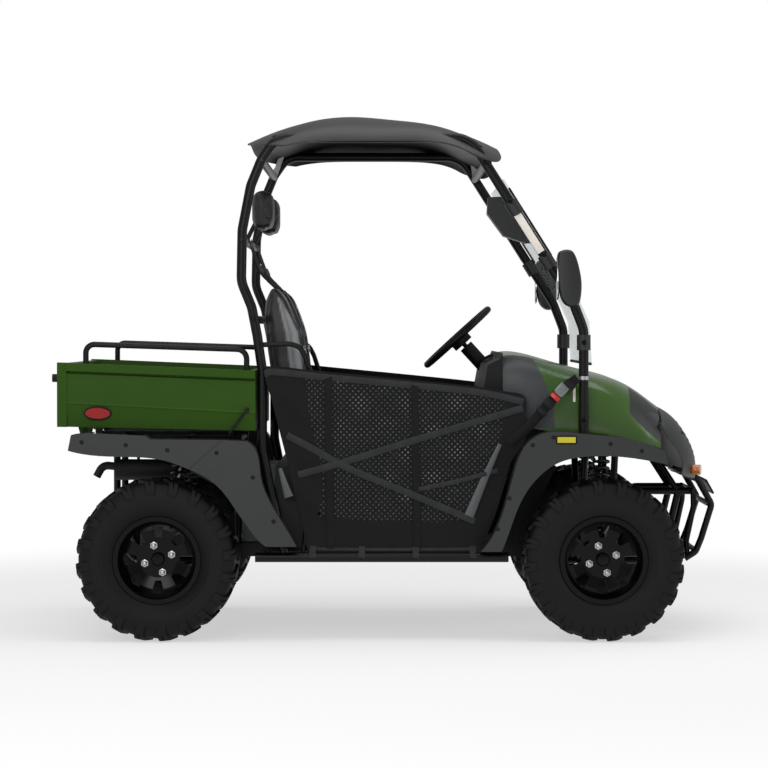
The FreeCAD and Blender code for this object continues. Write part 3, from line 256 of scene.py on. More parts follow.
def turned(profile, sides, spots, ways):
    """A profile of (radius, height) turned round an axis, once for each spot and way it points."""
    radius, height = np.array(profile, float).T
    spots, ways = np.array(spots, float), unit(np.array(ways, float))
    helper = np.where(np.abs(ways[:, 2:]) > 0.9, np.array([[1.0, 0, 0]]), np.array([[0, 0, 1.0]]))
    side = unit(np.cross(helper, ways))
    up = np.cross(ways, side)
    angle = 2 * np.pi * (np.arange(sides) + 0.5) / sides
    ring = np.cos(angle)[:, None] * side[:, None] + np.sin(angle)[:, None] * up[:, None]
    rise = height[:, None, None] * ways[:, None, None]
    every = spots[:, None, None] + radius[:, None, None] * ring[:, None] + rise
    return [(one, False, True, True) for one in every]


powder_coat = surface("black powder coated steel", BLACK_COAT, (0.32, 0.42), 60, PEEL_MM, 0.08, **DULL)
TUBES = ["lower_frame", "cage_right", "cage_left", "cage_crossbars", "hip_bars", "bed_rails", "front_bumper"]
dress(powder_coat, *TUBES, "front_arms", "rear_arms", "bed_lever")

# Tyres: off-road tyres of moulded black rubber, 25 inches over the lugs. Forty staggered
# lugs wrap over the shoulders and sweep towards the middle, each with a narrow slit; fine
# ribs run round the sidewall where the mould parts. The bead sits behind the rim's flange.
SIDES = (("right", -1), ("left", 1))
# Of each axle: its place, how far out its tyres stand, and their width.
AXLES = {"front": (0.838, 0.5825, 0.205), "rear": (-0.895, 0.560, 0.250)}
WHEELS = {
    f"{end}_{name}": (x, side * y, width) for end, (x, y, width) in AXLES.items() for name, side in SIDES
}
HUB_HIGH = 0.316
LUG_PERIODS = 20
LUG_SWEEP = 0.42
# Outlines from the bead to the middle of the tread: radius in mm, and reach as a share of the
# width. The lugged one leaves the bare one at the shoulder.
CARCASS = np.array(
    [
        (159.5, 0.28), (163.0, 0.335), (168.0, 0.345), (174.0, 0.366), (186.0, 0.412), (200.0, 0.452),
        (206.0, 0.462), (208.0, 0.470), (212.0, 0.471), (214.0, 0.474), (226.0, 0.487), (240.0, 0.490),
        (252.0, 0.486), (258.0, 0.482), (262.0, 0.476), (272.0, 0.466), (284.0, 0.448), (294.0, 0.424),
        (300.0, 0.392), (302.5, 0.345), (303.5, 0.25), (304.0, 0.14), (304.0, 0.075), (304.0, 0.05),
        (304.0, 0.0),
    ]
)
LUGGED = CARCASS.copy()
LUGGED[13:23] = [
    (257.0, 0.487), (259.0, 0.497), (272.0, 0.499), (288.0, 0.490), (301.0, 0.468), (310.0, 0.432),
    (313.5, 0.385), (315.0, 0.27), (315.8, 0.15), (316.0, 0.085),
]
# Outline points between which a lug is slit, and from where lugs start to sweep: how near the
# middle, as a share of the width, and how far out in mm.
SLIT_ROWS = (17, 21)
SWEEP_FROM, TREAD_FROM = 0.44, 280
# How far a lug stands as its period of the tread goes by, with its slit in the middle.
LUG_PHASE = [0.0, 0.035, 0.06, 0.13, 0.225, 0.24, 0.27, 0.285, 0.37, 0.44, 0.465]
LUG_SHARE = [0.0, 0.0, 1.0, 1.0, 1.0, 0.45, 0.45, 1.0, 1.0, 1.0, 0.0]


def ramp(value, start, width):
    """Nothing up to a start, and from there an even rise to one over a width."""
    return np.clip((value - start) / width, 0, 1)


def tyre_grid(x, y, width):
    """Radius and side reach as functions of the angle and the place across the tread.

    Each is the bare carcass plus, where a lug stands, the step up to the lugged outline. Lugs on the
    left half stand half a period after those on the right, and their middle ends lead by a sweep.
    """
    phase = np.concatenate([LUG_PHASE, np.array(LUG_PHASE) + 0.5])
    empty = np.zeros(len(LUG_SHARE))
    slitless = [1.0 if 0.05 < p < 0.45 else 0.0 for p in LUG_PHASE]
    halves = []
    for sign, order in ((-1, 1), (1, -1)):
        share = np.concatenate([LUG_SHARE, empty][::order])
        plain = np.concatenate([slitless, empty][::order])
        rows = np.arange(len(CARCASS))[:, None]
        stand = np.where((rows >= SLIT_ROWS[0]) & (rows <= SLIT_ROWS[1]), share, plain)
        radius = CARCASS[:, :1] + stand * (LUGGED[:, :1] - CARCASS[:, :1])
        reach = CARCASS[:, 1:] + stand * (LUGGED[:, 1:] - CARCASS[:, 1:])
        inward = ramp(SWEEP_FROM - CARCASS[:, 1:], 0, SWEEP_FROM) * (CARCASS[:, :1] > TREAD_FROM)
        lead = inward * LUG_SWEEP + 0 * stand
        halves.append((radius, reach * sign, lead))
    radius, reach, lead = (np.concatenate([a, b[-2::-1]]) for a, b in zip(*halves))
    period = np.arange(LUG_PERIODS)[:, None]
    angle = ((phase + period).ravel() + np.tile(lead, LUG_PERIODS)) * 2 * np.pi / LUG_PERIODS
    radius, reach = np.tile(radius, LUG_PERIODS), np.tile(reach, LUG_PERIODS)
    place = [x + radius * MM * np.cos(angle), y + reach * width, HUB_HIGH + radius * MM * np.sin(angle)]
    return np.stack(place, 2)


# Moulded rubber is near black and dull, with a grain that scatters what it reflects.
rubber = surface("moulded tyre rubber", ("070707", "101010"), (0.52, 0.7), 55, 3.0, 0.3, **DULL)
for place, (x, y, width) in WHEELS.items():
    grid = (tyre_grid(x, y, width), True, True, False)
    tyre = make_piece("tyre_" + place + "_rubber", [grid], rubber, "wheel_" + place, 28)
    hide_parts("tyre_" + place)

# Rims: cast alloy with eight windows, gloss black paint that shows narrow bright streaks. Four
# zinc plated cone nuts hold each one, and a rubber valve stands in one window's edge.
LACQUER = {"Specular IOR Level": 0.16}
rim_black = surface("gloss black painted alloy", ("020202", "050505"), (0.13, 0.2), 70, 4.0, 0.01, **LACQUER)
dress(rim_black, *["rim_" + place for place in WHEELS])
# Zinc plating is bright and metallic, with small clouds.
METAL = {"Metallic": 1.0}
zinc_plate = surface("bright zinc plated steel", ("A9ACAE", "C2C4C6"), (0.26, 0.36), 12, 1.5, 0.04, **METAL)
# How far the hub face and the valve stand out, as shares of the tyre's width.
HUB_FACE, VALVE_FACE = 0.0714, 0.102
NUT_CIRCLE, NUT_START = 0.055, 18
VALVE_CIRCLE, VALVE_TURN = 0.138, 1.2
NUT = [(0.0155, -0.004), (0.0155, 0.003), (0.0105, 0.004), (0.0105, 0.017), (0.0085, 0.021), (0.004, 0.023)]
HUB_CAP = {"front": 0.030, "rear": 0.018}
VALVE = [(0.0055, -0.004), (0.0055, 0.012), (0.0042, 0.014), (0.0042, 0.030), (0.003, 0.033)]
for place, (x, y, width) in WHEELS.items():
    side = 1 if y > 0 else -1
    face = y + side * width * HUB_FACE
    turns = np.radians(NUT_START + 90 * np.arange(4))
    ring = NUT_CIRCLE * np.stack([np.cos(turns), 0 * turns, np.sin(turns)], 1) + (x, face, HUB_HIGH)
    nuts = turned(NUT, 6, ring, [(0, side, 0)] * 4)
    make_piece("wheel_nuts_" + place, nuts, zinc_plate, "wheel_" + place, 30)
    high = HUB_CAP[place.split("_")[0]]
    cap = [(0.026, -0.004), (0.026, high - 0.006), (0.022, high - 0.001), (0.007, high)]
    cap = turned(cap, 28, [(x, face, HUB_HIGH)], [(0, side, 0)])
    make_piece("hub_cap_" + place, cap, rim_black, "wheel_" + place, 30)
    out = VALVE_CIRCLE * np.array([math.cos(VALVE_TURN), 0, math.sin(VALVE_TURN)])
    spot = np.array([x, y + side * width * VALVE_FACE, HUB_HIGH]) + out
    make_piece("valve_" + place, turned(VALVE, 10, [spot], [(0, side, 0)]), rubber, "wheel_" + place, 30)

# Coil-over shock absorbers: a black damper body with a chromed rod, a bushed eye at each
# end, pressed spring seats and a spring of 10.8 mm wire, all painted black.
# The lower and the upper eye of each end's left shock absorber.
SHOCKS = {
    "front": [(0.838, 0.430, 0.434), (0.850, 0.318, 0.745)],
    "rear": [(-0.862, 0.395, 0.421), (-0.808, 0.368, 0.738)],
}
COIL_RADIUS, COIL_WIRE, COIL_TURNS = 0.034, 0.0054, 8.5
SPRING_SEATS = (0.24, 0.93)
SEAT_DISH = [(0.012, 0.0), (0.041, 0.0), (0.043, 0.003), (0.041, 0.0055), (0.020, 0.0075), (0.012, 0.0075)]
BUSH = [(0.006, -0.015), (0.014, -0.014), (0.0148, -0.010), (0.0148, 0.010), (0.014, 0.014), (0.006, 0.015)]
# The paint has a soft shine, and the chromed rod is nearly a mirror.
spring_paint = surface("black painted spring steel", ("101011", "1A1A1B"), (0.28, 0.4), 30, 3.0, 0.06)
shock_steel = surface("chromed shock rod", ("8E9092", "A8AAAC"), (0.14, 0.22), 30, 2.0, 0.02, **METAL)


def circle(radius, sides):
    """Points of a circle as a closed profile."""
    angle = 2 * np.pi * np.arange(sides) / sides
    return np.stack([np.cos(angle), np.sin(angle)], 1) * radius


def coil(foot, top, radius, wire, turns):
    """A round wire wound at an even rise: radius out from the axis, turned by its angle.

    The last half turn at each end has no rise, so the spring stands flat on its seats.
    """
    axis = unit(top - foot)
    side = unit(np.cross(axis, (1.0, 0.0, 0.0)))
    up = np.cross(axis, side)
    angle = np.linspace(0, 2 * np.pi * turns, int(turns * 26))
    rise = ramp(angle / (2 * np.pi), 0.5, turns - 1) * np.linalg.norm(top - foot)
    out = np.cos(angle)[:, None] * side + np.sin(angle)[:, None] * up
    lean = circle(wire, 10)
    reach = radius + lean[:, 0]
    return foot + reach[None, :, None] * out[:, None] + (rise[:, None, None] + lean[None, :, 1:]) * axis


for place in WHEELS:
    end, name = place.split("_")
    foot, top = np.array(SHOCKS[end]) * (1, dict(SIDES)[name], 1)
    long = np.linalg.norm(top - foot)
    way = unit(top - foot)
    body = [(0.012, 0.012), (0.020, 0.016), (0.0215, 0.03), (0.0215, long * 0.5)]
    body += [(0.0195, long * 0.52), (0.0195, long * 0.55), (0.012, long * 0.56)]
    rod = [(0.009, long * 0.55), (0.009, long - 0.012)]
    low, high = foot + way * long * SPRING_SEATS[0], foot + way * (long * SPRING_SEATS[1] + 0.006)
    metal = turned(body, 28, [foot], [way]) + turned(SEAT_DISH, 28, [low, high], [way, -way])
    metal += turned(BUSH, 20, [foot, top], [(1, 0, 0), (1, 0, 0)])
    coil_low, coil_high = low + way * (0.006 + COIL_WIRE), high - way * (0.006 + COIL_WIRE)
    metal += [(coil(coil_low, coil_high, COIL_RADIUS, COIL_WIRE, COIL_TURNS), False, True, True)]
    shock = make_piece("coil_over_" + place, metal, spring_paint, "chassis", 35)
    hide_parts(end + "_shocks")
    make_piece("shock_rod_" + place, turned(rod, 20, [foot], [way]), shock_steel, "chassis", 35)

# Power train: cast aluminium cases, pleated black rubber boots on the half shafts, and a black
# painted exhaust silencer hung under the bed. The castings are pale and coarsely grained,
# turned steel is darker and smoother, and the heat resistant paint is quite dull.
cast_alloy = surface("sand cast aluminium", ("6E7072", "85878A"), (0.5, 0.62), 40, 2.0, 0.25, **METAL)
plain_steel = surface(
    "turned steel with an oil film", ("6A6B6D", "7C7D80"), (0.28, 0.4), 30, 1.5, 0.05, **METAL
)
heat_paint = surface("black heat resistant paint", ("0E0E0F", "1B1A19"), (0.55, 0.7), 35, 3.0, 0.15)
dress(cast_alloy, "rear_uprights", "gearcases", "engine_block", "steering_rack")
dress(cast_alloy, "knuckle_right", "knuckle_left")
dress(plain_steel, "drive_shafts", "tie_rods")
dress(heat_paint, "exhaust")
BOOT = [(0.016, 0.0), (0.035, 0.001)]
for i in range(5):
    BOOT += [(0.037 - i * 0.0028, 0.006 + i * 0.010), (0.031 - i * 0.003, 0.011 + i * 0.010)]
BOOT += [(0.0155, 0.062), (0.0125, 0.063)]
spots, ways = [], []
for x, inner, outer in ((AXLES["front"][0], 0.080, 0.468), (AXLES["rear"][0], 0.090, 0.458)):
    for side in (-1, 1):
        spots += [(x, side * (inner + 0.004), HUB_HIGH), (x, side * (outer - 0.004), HUB_HIGH)]
        ways += [(0, side, 0), (0, -side, 0)]
make_piece("shaft_boots", turned(BOOT, 28, spots, ways), rubber, "chassis", 25)

# Side nets: perforated black polyester mesh sewn into a border of plain cloth, with a wide hem
# along the sill. Grey webbing runs along and across it, black webbing down it, and two tapered
# battens keep its ends straight. Loops hold it to the sill and a latch strap to the cage.
NET_PLANE = 0.613
MESH_PITCH = 16.0
HOLE_SHARE = 0.24
# The outer and the inner outline of the border, as (x, z) in mm.
NET_OUTER = [
    (-300, 344), (-330, 460), (-360, 580), (-390, 700), (-421, 820), (-450, 935), (-480, 1050), (-437, 1068),
    (-330, 1057), (-224, 1046), (60, 1019), (359, 988), (450, 972), (533, 950), (534, 860), (535, 780),
    (482, 700), (452, 600), (418, 490), (384, 410), (350, 344), (190, 344), (0, 344), (-160, 344),
]
NET_INNER = [
    (-262, 484), (-262, 520), (-255, 600), (-262, 700), (-292, 820), (-312, 930), (-318, 1024), (-312, 1024),
    (-300, 1022), (-222, 1014), (60, 990), (352, 960), (420, 948), (452, 936), (446, 860), (436, 772),
    (404, 690), (364, 600), (324, 500), (312, 488), (296, 470), (180, 462), (0, 466), (-140, 474),
]
# Polyester takes no shine: cloth, mesh and webbing are all dull, with the weave as their grain.
MATT = {"Specular IOR Level": 0.2}
cloth_black = surface("black polyester cloth", ("0F0F10", "1B1B1C"), (0.7, 0.85), 26, 3.0, 0.35, **MATT)
knit_black, tree = blank_material("black knitted polyester mesh")
# Thick yarn rings stand round thin knit: the thin faces are greyer and let a third of the light by.
thin = add(tree, "ShaderNodeAttribute", {"attribute_name": "thin"}).outputs["Fac"]
yarn = mottled(tree, ("0D0D0D", "1E1E1F"), 30.0)[2]
tone = add(tree, "ShaderNodeMix", {"data_type": "RGBA", 7: colour("505354")}, {"Factor": thin, 6: yarn})
shader = add(tree, "ShaderNodeBsdfPrincipled", {"Roughness": 0.8, **MATT}, {"Base Color": tone.outputs[2]})
gap = add(tree, "ShaderNodeBsdfTransparent")
open_share = add(tree, "ShaderNodeMath", {"operation": "MULTIPLY", 1: 0.34}, {0: thin})
parts = {0: open_share.outputs[0], 1: shader.outputs[0], 2: gap.outputs[0]}
blend = add(tree, "ShaderNodeMixShader", None, parts)
add(tree, "ShaderNodeOutputMaterial", None, {"Surface": blend.outputs[0]})


def billow(x, z):
    """How far the net stands out from its plane: it sags between its straps and creases by them.

    Sines over the length and height, times a bump that is nothing at the rim, plus long creases that
    run down from the two top corners.
    """
    rim = ramp(x, -420, 160) * ramp(470 - x, 0, 140)
    rim = rim * ramp(z, 350, 110) * ramp(1040 - 0.08 * x - z, 0, 120)
    waves = np.sin(x / 71 + z / 160) + 0.7 * np.sin(z / 53 - x / 210) + 0.5 * np.sin(x / 33 + z / 47)
    crease = np.sin((x * 0.55 + z * 0.83) / 21) * np.exp(-(((x + 300) / 130) ** 2))
    crease = crease + np.sin((x * 0.8 - z * 0.6) / 23) * np.exp(-(((x - 400) / 90) ** 2))
    near_foot = np.exp(-(((x - 20) / 300) ** 2) - (((z - 500) / 130) ** 2))
    fold = np.sin((x * 0.30 + z * 0.95) / 15 + np.sin(x / 60)) * near_foot
    return (3.6 * rim * waves + 3.4 * crease * ramp(z, 344, 80) + 1.4 * rim * fold + 7 * rim) * MM


def on_net(x, z, side, lift=0.0):
    """Points of the net in the room, lifted off it outwards."""
    x, z = np.asarray(x, float), np.asarray(z, float)
    return np.stack([x * MM, side * (NET_PLANE + np.maximum(billow(x, z), 0) + lift), z * MM], -1)


def inside(points, outline):
    """Whether each point lies in a closed outline: it crosses an odd number of its edges."""
    a, b = np.array(outline, float), np.roll(np.array(outline, float), -1, 0)
    x, z = points[:, :1], points[:, 1:]
    across = (a[:, 1] > z) != (b[:, 1] > z)
    with np.errstate(divide="ignore", invalid="ignore"):
        meet = a[:, 0] + (z - a[:, 1]) * (b[:, 0] - a[:, 0]) / (b[:, 1] - a[:, 1])
    return (across & (x < meet)).sum(1) % 2 == 1


def perforated(side):
    """A lattice of square cells turned by 45 degrees, each a ring of eight faces round its thin middle."""
    count = 52
    a, b = np.meshgrid(np.arange(-count, count), np.arange(-count, count), indexing="ij")
    centre = np.stack([(a - b).ravel(), (a + b).ravel()], 1) * MESH_PITCH / math.sqrt(2) + (0, 700)
    middle = np.mean(NET_INNER, 0)
    grown = middle + (np.array(NET_INNER) - middle) * 1.025
    centre = centre[inside(centre, grown)]
    turn = np.pi / 4 * np.arange(8)
    ring = np.stack([np.cos(turn), np.sin(turn)], 1)
    square = ring * np.where(np.arange(8) % 2, 0.5, math.sqrt(0.5))[:, None]
    corner = np.concatenate([square, ring * HOLE_SHARE]) * MESH_PITCH
    flat = (centre[:, None] + corner[None]).reshape(-1, 2)
    i = np.arange(8)
    face = np.stack([i, (i + 1) % 8, (i + 1) % 8 + 8, i + 8], 1)
    faces = (np.arange(len(centre))[:, None, None] * 16 + face).reshape(-1, 4).tolist()
    faces += (np.arange(len(centre))[:, None] * 16 + i + 8).tolist()
    mesh = bpy.data.meshes.new("net")
    mesh.from_pydata(on_net(flat[:, 0], flat[:, 1], side).tolist(), [], faces)
    layer = mesh.attributes.new("thin", "FLOAT", "FACE")
    layer.data.foreach_set("value", np.arange(len(faces)) >= len(centre) * 8)
    shell = bmesh.new()
    shell.from_mesh(mesh)
    bmesh.ops.remove_doubles(shell, verts=shell.verts, dist=0.0004)
    if side > 0:
        bmesh.ops.reverse_faces(shell, faces=shell.faces)
    shell.to_mesh(mesh)
    shell.free()
    return mesh


def flowing(points, count, closed=False):
    """A smooth line through points: cubic runs whose slope at a point is that of its neighbours."""
    p = np.array(points, float)
    if closed:
        p = np.concatenate([p[-1:], p, p[:2]])
    else:
        p = np.concatenate([2 * p[:1] - p[1:2], p, 2 * p[-1:] - p[-2:-1]])
    runs = len(p) - 3
    at = np.linspace(0, runs, count, endpoint=not closed)
    k = np.minimum(at.astype(int), runs - 1)
    t = (at - k)[:, None]
    a, b, c, d = p[k], p[k + 1], p[k + 2], p[k + 3]
    return 0.5 * (2 * b + (c - a) * t + (2 * a - 5 * b + 4 * c - d) * t**2 + (3 * b - a - 3 * c + d) * t**3)


def border(side):
    """The cloth round the mesh: straight runs from the inner outline to the outer one."""
    inner, outer = flowing(NET_INNER, 192, True), flowing(NET_OUTER, 192, True)
    share = np.linspace(0, 1, 12)[:, None, None]
    flat = inner + (outer - inner) * share
    return on_net(flat[..., 0], flat[..., 1], side, 0.0016)


def carried(path, profile, normal=None):
    """A closed profile carried along a path: point = path + side * p + up * q.

    Side and up are square to the path. They keep to a given normal, or turn as little as they can.
    """
    path, profile = np.array(path, float), np.array(profile, float)
    tangent = unit(np.gradient(path, axis=0))
    if normal is None:
        side = np.empty_like(path)
        start = np.cross(tangent[0], (0.0, 0.0, 1.0) if abs(tangent[0][2]) < 0.9 else (1.0, 0.0, 0.0))
        side[0] = start / np.linalg.norm(start)
        for i in range(1, len(path)):
            step = side[i - 1] - tangent[i] * np.dot(side[i - 1], tangent[i])
            side[i] = step / np.linalg.norm(step)
    else:
        side = unit(np.cross(tangent, np.broadcast_to(np.array(normal, float), path.shape)))
    up = np.cross(side, tangent)
    return path[:, None] + profile[None, :, :1] * side[:, None] + profile[None, :, 1:] * up[:, None]


def bar(path, profile, normal=None):
    """A profile carried along an open path, as a grid with both ends capped."""
    return carried(path, profile, normal), False, True, True


def webbing_profile(width, thick):
    """A flat band with rounded edges."""
    half, edge = width / 2, thick / 2
    left = [(-half + edge, -edge), (-half, 0), (-half + edge, edge)]
    return left + [(-x, -y) for x, y in left]


RIB_MM = 6.0
webbing_grey, tree = blank_material("grey polyester webbing")
# Woven ribs across the band, drawn four times coarser than the real ones so that they show.
run = add(tree, "ShaderNodeUVMap", {"uv_map": "UVMap"})
rib = add(
    tree,
    "ShaderNodeTexWave",
    {"wave_type": "BANDS", "bands_direction": "X", "Scale": 0.314 / (RIB_MM * MM), "Distortion": 0.6},
    {"Vector": run.outputs[0]},
)
tone = mottled(tree, ("1E1F20", "323436"), 30.0, 2.0)[2]
bump = add(tree, "ShaderNodeBump", {"Distance": 0.0006}, {"Height": rib.outputs["Fac"]})
shader = add(
    tree,
    "ShaderNodeBsdfPrincipled",
    {"Roughness": 0.72, "Sheen Weight": 0.15, "Specular IOR Level": 0.25},
    {"Base Color": tone, "Normal": bump.outputs["Normal"]},
)
add(tree, "ShaderNodeOutputMaterial", None, {"Surface": shader.outputs[0]})
# Moulded plastics are satin; the button is smoother and catches the light, and phosphated steel
# is a soft dark metal.
batten_grey = surface("grey polypropylene batten", ("45484A", "55585A"), (0.45, 0.6), 40, 3.0, 0.1)
satin_black = surface("satin black polypropylene", ("0A0B0B", "131414"), (0.45, 0.58), 80, 4.0, 0.05, **DULL)
buckle_red = surface("red acetal push button", ("B01612", "C42019"), (0.25, 0.35), 12, 3.0, 0.04)
tongue_grey = surface(
    "grey phosphated steel tongue", ("6C7073", "84888B"), (0.3, 0.4), 12, 1.5, 0.04, Metallic=0.6
)


def squircle(sides, power, start=0.5):
    """A rounded rectangle reaching one each way: a signed power of the cosine and the sine."""
    angle = 2 * np.pi * (np.arange(sides) + start) / sides
    flat = np.stack([np.cos(angle), np.sin(angle)], 1)
    return np.sign(flat) * np.abs(flat) ** power


def rounded_box(centre, along, across, size):
    """A box as a capped grid: a rounded rectangle, drawn in at both faces."""
    shrink = np.array([0.86, 1, 1, 0.86])[:, None, None]
    ring = squircle(24, 0.35) * shrink * (size[0] / 2, size[1] / 2)
    rise = np.array([-1, -0.75, 0.75, 1])[:, None, None] * size[2] / 2 * np.cross(along, across)
    return np.array(centre) + ring[..., :1] * along + ring[..., 1:] * across + rise, False, True, True


# Each band: its points as (x, z) and its width, in mm.
BANDS = {
    "top": ([(-478, 1036), (-437, 1046), (-224, 1024), (60, 998), (359, 966), (528, 930)], 26),
    "upright_rear": ([(-231, 1030), (-231, 840), (-226, 600), (-222, 352)], 30),
    "upright_front": ([(106, 1000), (108, 800), (112, 600), (116, 352)], 30),
    "cross_high": ([(526, 906), (340, 852), (100, 780), (-146, 704), (-348, 646)], 27),
    "cross_low": ([(-391, 801), (-280, 742), (-154, 673), (90, 572), (339, 467)], 27),
    "cross_short": ([(120, 590), (270, 622), (428, 664)], 18),
    "hem_seam": ([(-296, 358), (-100, 356), (120, 356), (346, 358)], 12),
}
BATTENS = [([(436, 766), (380, 640), (316, 487)], 28), ([(-418, 672), (-400, 610), (-384, 560)], 26)]
LATCH_LINE = [
    (0.470, 0.619, 0.770), (0.545, 0.619, 0.832), (0.610, 0.619, 0.905), (0.675, 0.619, 0.975),
    (0.738, 0.612, 1.022),
]
LATCH_WAY = (0.68, 0.0, 0.73)
# The latch's black boxes along its strap: the middle and the size of each.
LATCH_PARTS = [
    ((0.599, 0.893), (0.022, 0.046, 0.014)),
    ((0.628, 0.925), (0.034, 0.044, 0.016)),
    ((0.706, 0.996), (0.026, 0.048, 0.009)),
]
# Each sill loop: where it leaves the net and where it goes round the sill tube, in mm.
SILL_LOOPS = [(-290, 352, -292), (-100, 350, -100), (110, 350, 110), (330, 352, 332)]
SILL_TUBE, LOOP_RADIUS = (612, 325), 20.5
LOOP_TURN = np.linspace(-0.2, 1.35 * np.pi, 22)
LOOP_OUT = np.stack([0 * LOOP_TURN, np.cos(LOOP_TURN), np.sin(LOOP_TURN)], 1)
SIDEWAYS = np.array([0, 1.0, 0])
PILLAR_RING = [(0.0191, -0.007), (0.0205, -0.007), (0.0205, 0.007), (0.0191, 0.007)]

for name, side in SIDES:
    net = finish_piece(f"net_{name}", perforated(side), knit_black, "chassis", 60, outward=False)
    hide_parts("side_nets")
    edge = make_piece(f"net_border_{name}", [(border(side), False, True, False)], cloth_black, "chassis", 60)
    bands, ribs = [], []
    for band, (line, width) in BANDS.items():
        flat = flowing(line, 60)
        lift = 0.0052 if band.startswith("cross") else 0.0034
        path = on_net(flat[:, 0], flat[:, 1], side, lift)
        kind = ribs if band.startswith("upright") else bands
        kind.append(bar(path, webbing_profile(width * MM, 0.0018), (0, side, 0)))
    straps = make_piece(f"net_webbing_{name}", bands, webbing_grey, "chassis", 50)
    uprights = make_piece(f"net_uprights_{name}", ribs, cloth_black, "chassis", 50)
    stays = []
    for line, width in BATTENS:
        flat = flowing(line, 16)
        path = on_net(flat[:, 0], flat[:, 1], side, 0.0048)
        stay = carried(path, webbing_profile(width * MM, 0.0030), (0, side, 0))
        wider = np.linspace(0.55, 1.35, 16)[:, None, None]
        stays.append((path[:, None] + (stay - path[:, None]) * wider, False, True, True))
    battens = make_piece(f"net_battens_{name}", stays, batten_grey, "chassis", 50)

    # The latch strap: webbing from the net's front corner through a buckle to a ring on the pillar.
    y = side * (NET_PLANE + 0.006)
    latch = flowing(np.array(LATCH_LINE) * (1, side, 1), 40)
    strap = bar(latch, webbing_profile(0.038, 0.0022), (0, side, 0))
    make_piece(f"latch_strap_{name}", [strap], cloth_black, "chassis", 50)
    along = unit(np.array(LATCH_WAY))
    across = np.cross(along, (0, side, 0))
    buckle = [rounded_box((x, y, z), along, across, size) for (x, z), size in LATCH_PARTS]
    make_piece(f"latch_buckle_{name}", buckle, satin_black, "chassis", 40)
    button = rounded_box((0.650, y + side * 0.002, 0.949), along, across, (0.020, 0.040, 0.018))
    make_piece(f"latch_button_{name}", [button], buckle_red, "chassis", 40)
    tongue = rounded_box((0.676, y, 0.977), along, across, (0.050, 0.040, 0.006))
    make_piece(f"latch_tongue_{name}", [tongue], tongue_grey, "chassis", 40)

    # Loops of webbing along the sill, and the bright ring on the pillar that the latch hooks to.
    loops = []
    for x, z, foot_x in SILL_LOOPS:
        ring = LOOP_RADIUS * LOOP_OUT + (foot_x, *SILL_TUBE)
        ring = np.concatenate([[(x, 615.5, z + 18)], ring]) * (MM, side * MM, MM)
        out = np.concatenate([[SIDEWAYS], LOOP_OUT]) * (1, side, 1)
        loops.append(bar(ring, webbing_profile(0.025, 0.0016), out))
    make_piece(f"sill_loops_{name}", loops, webbing_grey, "chassis", 60)
    ring = turned(PILLAR_RING, 32, [(0.763, side * 0.590, 1.022)], [(0, 0, 1)])
    make_piece(f"pillar_ring_{name}", ring, zinc_plate, "chassis", 40)

# Seats: moulded foam on a pan, in black vinyl with a lighter pleated panel down the middle.
# Welted seams run beside the panel and across it. The foam bulges between its seams: a cloth
# simulation swells each pad, then the seams are drawn in. The headrests are foam on a stem.
SEAT_MIDDLE = 0.290
PANEL_HALF = 0.128
PLEATS = (-0.064, 0.0, 0.064)
# How deep the seams draw in: beside the panel, across it and between its pleats.
SIDE_SEAM, CROSS_SEAM, PLEAT_SEAM = 0.008, 0.006, 0.004
# Where the cross seam lies: up the back, and along the cushion.
BACK_CROSS, CUSHION_CROSS = 0.905, -0.02
# Rings of each pad in mm: the place along it, its two faces there and half its width.
BACK_ROWS = [
    (768, -302, -404, 205), (800, -306, -408, 207), (900, -317, -420, 208), (1000, -330, -442, 208),
    (1088, -341, -458, 208), (1200, -355, -474, 206), (1280, -384, -478, 200), (1330, -404, -474, 188),
    (1362, -420, -468, 172), (1380, -436, -462, 148),
]
CUSHION_ROWS = [
    (-398, 778, 690, 200), (-360, 785, 684, 207), (-200, 778, 690, 208), (-80, 787, 696, 208),
    (0, 794, 702, 207), (44, 788, 712, 203), (64, 774, 728, 194), (72, 758, 744, 180),
]
REST_ROWS = [
    (1613, -470, -522, 92), (1617, -464, -528, 102), (1626, -460, -532, 111), (1645, -459, -533, 115),
    (1686, -459, -533, 116), (1727, -459, -533, 115), (1746, -460, -532, 111), (1755, -464, -528, 102),
    (1759, -470, -522, 92),
]


def ringed(rows, upright):
    """A closed form of rounded rings: across the seat a signed power of the cosine, else of the sine.

    Upright rings lie level and stack in height. The others stand across the seat and run forwards.
    """
    round_cos, round_sin = squircle(72, 0.42, 0).T
    at, high, low, half = np.array(rows, float).T * MM
    middle, reach = (high + low) / 2, (high - low) / 2
    across = half[:, None] * round_sin
    other = middle[:, None] + reach[:, None] * round_cos
    along = at[:, None] + 0 * across
    return np.stack([other, across, along] if upright else [along, across, other], 2)


def coordinates(mesh, name="co"):
    """Vertex places or normals of a mesh as an array."""
    out = np.empty(len(mesh.vertices) * 3)
    mesh.vertices.foreach_get(name, out)
    return out.reshape(-1, 3)


def evaluated(obj):
    """A new mesh of an object as its modifiers leave it."""
    return bpy.data.meshes.new_from_object(obj.evaluated_get(bpy.context.evaluated_depsgraph_get()))


